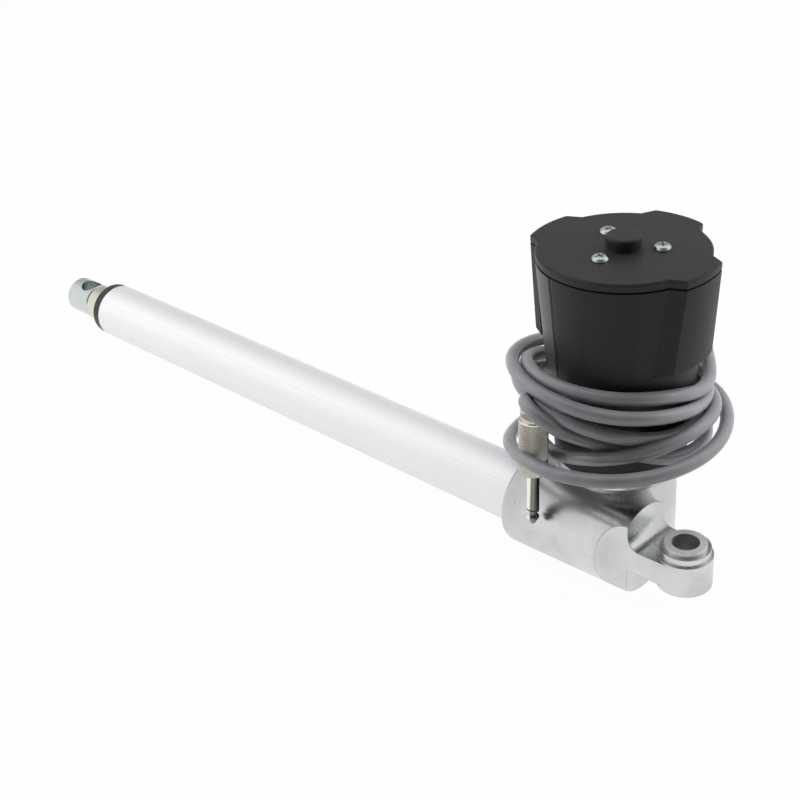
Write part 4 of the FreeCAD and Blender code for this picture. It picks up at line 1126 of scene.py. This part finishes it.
# The cable's turns from the plug on: radius and height in millimetres at equal steps of angle.
TURNS: Profile = (
    (39.1, 58.2), (37.5, 51.0), (39.5, 46.6), (40.6, 43.9), (43.0, 42.1), (47.5, 39.9), (52.4, 37.4),
    (56.9, 34.7), (60.1, 32.0), (61.0, 30.5), (59.1, 31.7), (56.4, 36.6), (57.9, 44.0), (61.4, 50.0),
    (62.8, 51.6), (61.2, 51.8), (58.1, 52.2), (55.3, 52.6), (53.4, 52.6), (53.5, 52.9), (55.6, 53.4),
    (57.5, 53.0), (57.3, 50.8), (55.0, 49.1), (51.5, 47.5), (47.6, 45.6), (43.9, 43.7), (41.5, 43.0),
    (41.3, 45.2), (43.7, 50.6), (47.9, 56.6), (49.7, 61.4), (48.4, 63.8), (47.0, 63.1), (47.3, 60.6),
    (48.3, 58.8), (49.1, 57.7), (49.4, 56.9), (49.5, 56.5), (49.8, 58.3), (50.7, 64.5), (51.8, 74.0),
    (52.6, 80.2), (54.7, 81.9), (55.1, 78.4), (48.9, 70.0), (41.7, 63.0), (39.2, 59.4), (39.4, 58.4),
    (40.0, 59.2), (40.7, 61.2), (41.8, 64.3), (44.1, 68.1), (47.8, 72.0), (51.6, 75.7), (53.7, 79.7),
    (54.3, 84.8), (55.4, 88.7), (56.3, 89.1), (54.4, 85.5), (51.6, 81.6), (48.6, 78.6), (45.0, 74.7),
    (41.5, 69.3), (42.6, 66.1), (46.7, 66.2), (50.5, 66.8), (52.4, 66.3), (51.9, 65.7), (49.6, 67.7),
    (47.3, 73.8), (46.5, 82.4), (48.2, 88.5), (48.3, 90.1), (45.8, 88.7), (43.5, 87.1), (42.3, 85.7),
    (41.2, 82.6), (40.5, 76.9), (43.0, 73.4), (48.0, 75.4),
)


@dataclass
class WoundCable:
    """The cable: out of the bend relief, round the motor cover, into the plug.

    Attributes:
        axis: The motor's axis in plan.
        diameter: Diameter of the sheath.
        first: Angle of the turns' end next to the plug, in degrees.
        step: Angle from one point of the turns to the next.
        exit: Where the cable leaves the bend relief.
        lead: The next point, straight on.
        bend: The fold above the plug: radius in millimetres, angle, and height in millimetres.
        into_plug: How far the first and the last point on the plug's axis are from its end.
        length: Length of the cable.
        fineness: Faces along and round the sheath.
    """

    axis: Pair = MOTOR_AXIS
    diameter: float = 0.007
    first: float = 120.0
    step: float = 24.0
    exit: Point = (0.05987, -0.07559, 0.086)
    lead: Point = (0.05178, -0.08147, 0.0855)
    bend: tuple[Point, ...] = ((46.5, 98.0, 64.8), (57.5, 94.0, 73.5), (62.0, 85.0, 80.5), (60.0, 75.0, 83.5))
    into_plug: Pair = (0.0040, -0.0010)
    length: float = 1.75
    fineness: int = 6

    def around(self, radius: float, degrees: float, height: float) -> Vector:
        """Find a point about the motor's axis.

        Args:
            radius: Distance from the axis in millimetres.
            degrees: Angle about it.
            height: Height in millimetres.

        Returns:
            The point in metres.
        """
        turn = math.radians(degrees)
        return Vector((self.axis[0] + MILLIMETRE * radius * math.cos(turn),
                       self.axis[1] + MILLIMETRE * radius * math.sin(turn), MILLIMETRE * height))

    def route(self, plug: JackPlug) -> list[Vector]:
        """Control points of the cable's line.

        Args:
            plug: The plug that it ends in.

        Returns:
            The points from the bend relief to the plug.
        """
        turns = [self.around(radius, self.first + self.step * k, height)
                 for k, (radius, height) in enumerate(TURNS)]
        bend = [self.around(*spot) for spot in self.bend]
        top = [plug.along(plug.length + way) for way in self.into_plug]
        return [Vector(self.exit), Vector(self.lead), *reversed(turns), *bend, *top]

    def build(self, shop: Workshop, plug: JackPlug, carried: Sequence[bpy.types.Object]) -> None:
        """Lay the cable.

        Args:
            shop: Where the materials are.
            plug: The plug that it ends in.
            carried: The plug's pieces; not used.
        """
        data = bpy.data.curves.new("cable", "CURVE")
        data.dimensions, data.use_fill_caps = "3D", True
        data.resolution_u = data.bevel_resolution = self.fineness
        data.bevel_depth = self.diameter / 2.0
        points = self.route(plug)
        line = data.splines.new("NURBS")
        line.points.add(len(points) - 1)
        for spot, point in zip(line.points, points):
            spot.co = (*point, 1.0)
        line.order_u, line.use_endpoint_u = 3, True
        cable = shop.settle(new_object("cable", data), "grey_cable", "housing",
                            "gland_lead", "cable_coil", "plug_lead")


@dataclass
class ScrewRing:
    """Pan-head screws with a cross recess, set in a ring about the motor's axis.

    Attributes:
        name: The piece's name.
        node: The solids that it stands for.
        ring: Radius of the ring.
        first: Angle of the first screw in degrees.
        seat: Height of the face under the heads.
        head_radius: Radius of a head.
        head_height: Height of a head.
        shank_length: Length under the head.
        shank_radius: Radius over the thread.
        plain_end: Length without thread at each end of the shank.
        thread_pitch: Pitch of the thread.
        thread_depth: Depth of the thread.
        arm_share: Length of the recess's arms, in radii of the head.
        blade_share: Width of the arms, in radii of the head.
        deep_share: Twice the depth of the recess, in heights of the head.
        count: Number of screws.
        centre: Middle of the ring in plan.
        seed: Seed for how far each screw is turned.
        sides: Faces round a screw.
    """

    name: str
    node: str
    ring: float
    first: float
    seat: float
    head_radius: float
    head_height: float
    shank_length: float
    shank_radius: float = 0.0020
    plain_end: float = 0.001
    thread_pitch: float = 0.0008
    thread_depth: float = 0.00032
    arm_share: float = 1.16
    blade_share: float = 0.25
    deep_share: float = 1.1
    count: int = 3
    centre: Pair = MOTOR_AXIS
    seed: int = 7
    sides: int = 40

    def blank(self) -> bpy.types.Mesh:
        """Turn one screw without its recess.

        Returns:
            The screw, with its seat at zero.
        """
        r, h, s, neck = self.head_radius, self.head_height, self.shank_radius, self.plain_end
        profile = [(0.0, h), (0.45 * r, h * 0.985), (0.7 * r, h * 0.90), (0.87 * r, h * 0.70),
                   (0.97 * r, h * 0.38), (r, h * 0.12), (r * 0.985, 0.0), (s, 0.0), (s, -neck)]
        root, pitch, end = s - self.thread_depth, self.thread_pitch, -self.shank_length
        for k in range(int((self.shank_length - 2.0 * neck) / pitch)):
            crest = -neck - pitch * k
            profile += [(root, crest - 0.35 * pitch), (s, crest - 0.7 * pitch)]
        return turned(self.name + ".blank", profile + [(root, end), (0.0, end)], self.sides)

    def build(self, shop: Workshop) -> None:
        """Make the ring of screws.

        Args:
            shop: Where the materials are.
        """
        net = Pattern(self.name, {"Count": self.count, "Ring": self.ring, "Seat": self.seat,
                                  "First": math.radians(self.first),
                                  "Arm": self.head_radius * self.arm_share,
                                  "Blade": self.head_radius * self.blade_share, "Top": self.head_height,
                                  "Deep": self.head_height * self.deep_share, "Seed": self.seed})
        arm, blade, deep, top = (net.size(label) for label in ("Arm", "Blade", "Deep", "Top"))
        bars = [net.node("GeometryNodeMeshCube", {}, {"Size": net.vector(*sides, deep)})
                for sides in ((arm, blade), (blade, arm))]
        heart = net.node("GeometryNodeMeshCone", {}, {"Vertices": 16, "Radius Top": blade * 1.25,
                                                      "Radius Bottom": blade * 0.5, "Depth": deep})
        recess = [net.moved(bar, net.vector(0.0, 0.0, top)) for bar in bars]
        recess.append(net.moved(heart, net.vector(0.0, 0.0, top * 0.4)))
        screw = net.node("GeometryNodeMeshBoolean", {"operation": "DIFFERENCE", "solver": "EXACT"},
                         {"Mesh 1": net.size("Geometry"), "Mesh 2": recess})
        circle = net.node("GeometryNodeMeshCircle", {},
                          {"Vertices": net.size("Count"), "Radius": net.size("Ring")})
        spots = net.moved(circle, net.vector(*self.centre, net.size("Seat")),
                          net.vector(0.0, 0.0, net.size("First")))
        turn = net.node("FunctionNodeRandomValue", {"data_type": "FLOAT"},
                        {2: 0.0, 3: math.pi / 2.0, "Seed": net.size("Seed")}, out=1)
        ring = net.node("GeometryNodeInstanceOnPoints", {},
                        {"Points": spots, "Instance": screw, "Rotation": net.vector(0.0, 0.0, turn)})
        piece = net.bake(self.name, ring, shop.materials["bright_zinc"], self.blank())
        shop.settle(piece, "bright_zinc", "housing", self.node)


@dataclass
class LeadScrew:
    """The spindle: a thrust collar at its rear and a trapezoidal right-hand thread along the rest.

    Places along it are on the X axis: its ends, and where the collar and the thread start and end.
    """

    rear: float = 0.035
    collar: Pair = (0.042, 0.050)
    thread: Pair = (0.0835, 0.4395)
    front: float = 0.448
    radius: float = 0.006
    collar_radius: float = 0.0085
    front_radius: float = 0.0058
    soft: float = 0.0004
    pitch: float = 0.006
    depth: float = 0.0011
    flank: Pair = (0.36, 0.64)
    steps: int = 12
    sides: int = 48

    def blank(self) -> bpy.types.Mesh:
        """Turn the spindle without its thread.

        Returns:
            The spindle, standing on Z.
        """
        r, c, f, soft = self.radius, self.collar_radius, self.front_radius, self.soft
        root = r - self.depth
        (low, high), (start, end) = self.collar, self.thread
        return turned("lead_screw.blank", [
            (0.0, self.rear), (r - soft, self.rear), (r, self.rear + soft), (r, low), (c - soft, low),
            (c, low + soft), (c, high - soft), (c - soft, high), (r, high), (r, start - soft),
            (root, start + soft), (root, end - soft), (f, end), (f, self.front - soft),
            (r - 2.0 * soft, self.front), (0.0, self.front)], self.sides)

    def build(self, shop: Workshop) -> None:
        """Cut the thread.

        Args:
            shop: Where the materials are.
        """
        start, end = self.thread
        net = Pattern("lead_screw", {"Radius": self.radius, "Length": end - start,
                                     "Middle": (start + end) / 2.0, "Pitch": self.pitch,
                                     "Depth": self.depth, "Around": self.sides,
                                     "Along": round((end - start) / self.pitch * self.steps)})
        x, y, z = net.split(net.node("GeometryNodeInputPosition"))
        phase = z / net.size("Pitch") - y.maths("ARCTAN2", y, x) / (2.0 * math.pi)
        shape = net.sunk(net.band(), 1.0 - net.step(phase.ridge(), *self.flank))
        lying = Matrix.Rotation(math.pi / 2.0, 4, "Y")
        screw = net.bake("lead_screw", shape, shop.materials["plain_steel"], self.blank(), lying)
        shop.settle(screw, "plain_steel", "spindle", "spindle")


@dataclass
class BendRelief:
    """The ribbed sleeve that keeps the cable from kinking where it leaves the cover.

    Attributes:
        inner: Its end inside the cover.
        mouth: Its end where the cable comes out.
        shank_radius: Radius of the part in the cover's wall.
        shank_length: Length of that part.
        wide: Radius of the lip on the cover.
        narrow: Radius over the last rib.
        bore: Radius of the cable in it.
        soft: Rounding of its edges.
        lip: Where the lip ends and where the taper starts, from the shank on.
        tail: Length of the rounded end.
        bead: Radius of a rib's bead.
        ribs: Number of ribs.
        rib_room: Room from the shank to the first rib and from the last rib to the mouth.
        sides: Faces round the sleeve and round a bead.
    """

    inner: Point = (0.08576, -0.05677, 0.086)
    mouth: Point = (0.05987, -0.07558, 0.086)
    shank_radius: float = 0.0046
    shank_length: float = 0.012
    wide: float = 0.0062
    narrow: float = 0.0047
    bore: float = 0.0035
    soft: float = 0.0004
    lip: Pair = (0.0014, 0.0020)
    tail: float = 0.0010
    bead: float = 0.0009
    ribs: int = 7
    rib_room: Pair = (0.0040, 0.0015)
    sides: tuple[int, int] = (48, 12)

    def build(self, shop: Workshop) -> None:
        """Make the sleeve.

        Args:
            shop: Where the materials are.
        """
        along = Vector(self.mouth) - Vector(self.inner)
        long, neck, soft = along.length, self.shank_length, self.soft
        low, high = self.wide - self.bead, self.narrow - 0.6 * self.bead
        sleeve = turned("bend_relief.sleeve", [
            (self.bore, 0.0), (self.shank_radius, 0.0), (self.shank_radius, neck), (self.wide - soft, neck),
            (self.wide, neck + soft), (self.wide, neck + self.lip[0]), (low, neck + self.lip[1]),
            (high, long - self.tail), (high - soft, long), (self.bore, long)], self.sides[0])
        net = Pattern("bend_relief", {"Ribs": self.ribs, "Ring": low, "Bead": self.bead,
                                      "First": neck + self.rib_room[0],
                                      "Gap": (long - neck - sum(self.rib_room)) / (self.ribs - 1),
                                      "Fall": (1.0 - high / low) / (self.ribs - 1)})
        radii = (net.size("Ring") - net.size("Bead") * 0.3, net.size("Bead"))
        ring, bead = (net.node("GeometryNodeCurvePrimitiveCircle", {}, {"Resolution": n, "Radius": radius})
                      for n, radius in zip(self.sides, radii))
        rib = net.node("GeometryNodeCurveToMesh", {}, {"Curve": ring, "Profile Curve": bead})
        start, gap = (net.vector(0.0, 0.0, net.size(label)) for label in ("First", "Gap"))
        spots = net.node("GeometryNodeMeshLine", {},
                         {"Count": net.size("Ribs"), "Start Location": start, "Offset": gap})
        shrink = 1.0 - net.node("GeometryNodeInputIndex") * net.size("Fall")
        row = net.node("GeometryNodeInstanceOnPoints", {},
                       {"Points": spots, "Instance": rib, "Scale": net.vector(shrink, shrink, 1.0)})
        place = Matrix.Translation(self.inner) @ along.to_track_quat("Z", "Y").to_matrix().to_4x4()
        shape = net.joined(net.size("Geometry"), row)
        relief = net.bake("bend_relief", shape, shop.materials["seal_rubber"], sleeve, place)
        shop.settle(relief, "seal_rubber", "housing", "cable_gland")


def build_drive() -> None:
    """Build and dress the drive, sub-assembly by sub-assembly."""
    logging.basicConfig(level=logging.INFO, format="%(message)s")
    Studio().build()
    shop = Workshop()
    shop.dress_solids()
    LOG.info("%d solids dressed", len(frame["nodes"]))
    plug = JackPlug()
    body = plug.build(shop)
    contacts = [frame["nodes"][name] for name in ("plug_tip", "plug_insulator", "plug_sleeve")]
    WoundCable().build(shop, plug, body + contacts)
    ScrewRing(name="lid_screw_set", node="lid_screws", ring=0.0183, first=90.0, seat=0.146,
              head_radius=0.00435, head_height=0.0024, shank_length=0.0295).build(shop)
    ScrewRing(name="plate_screw_set", node="plate_screws", ring=0.0180, first=30.0, seat=0.038,
              head_radius=0.0036, head_height=0.0030, shank_length=0.0240).build(shop)
    LeadScrew().build(shop)
    BendRelief().build(shop)


if __name__ == "__main__":
    build_drive()
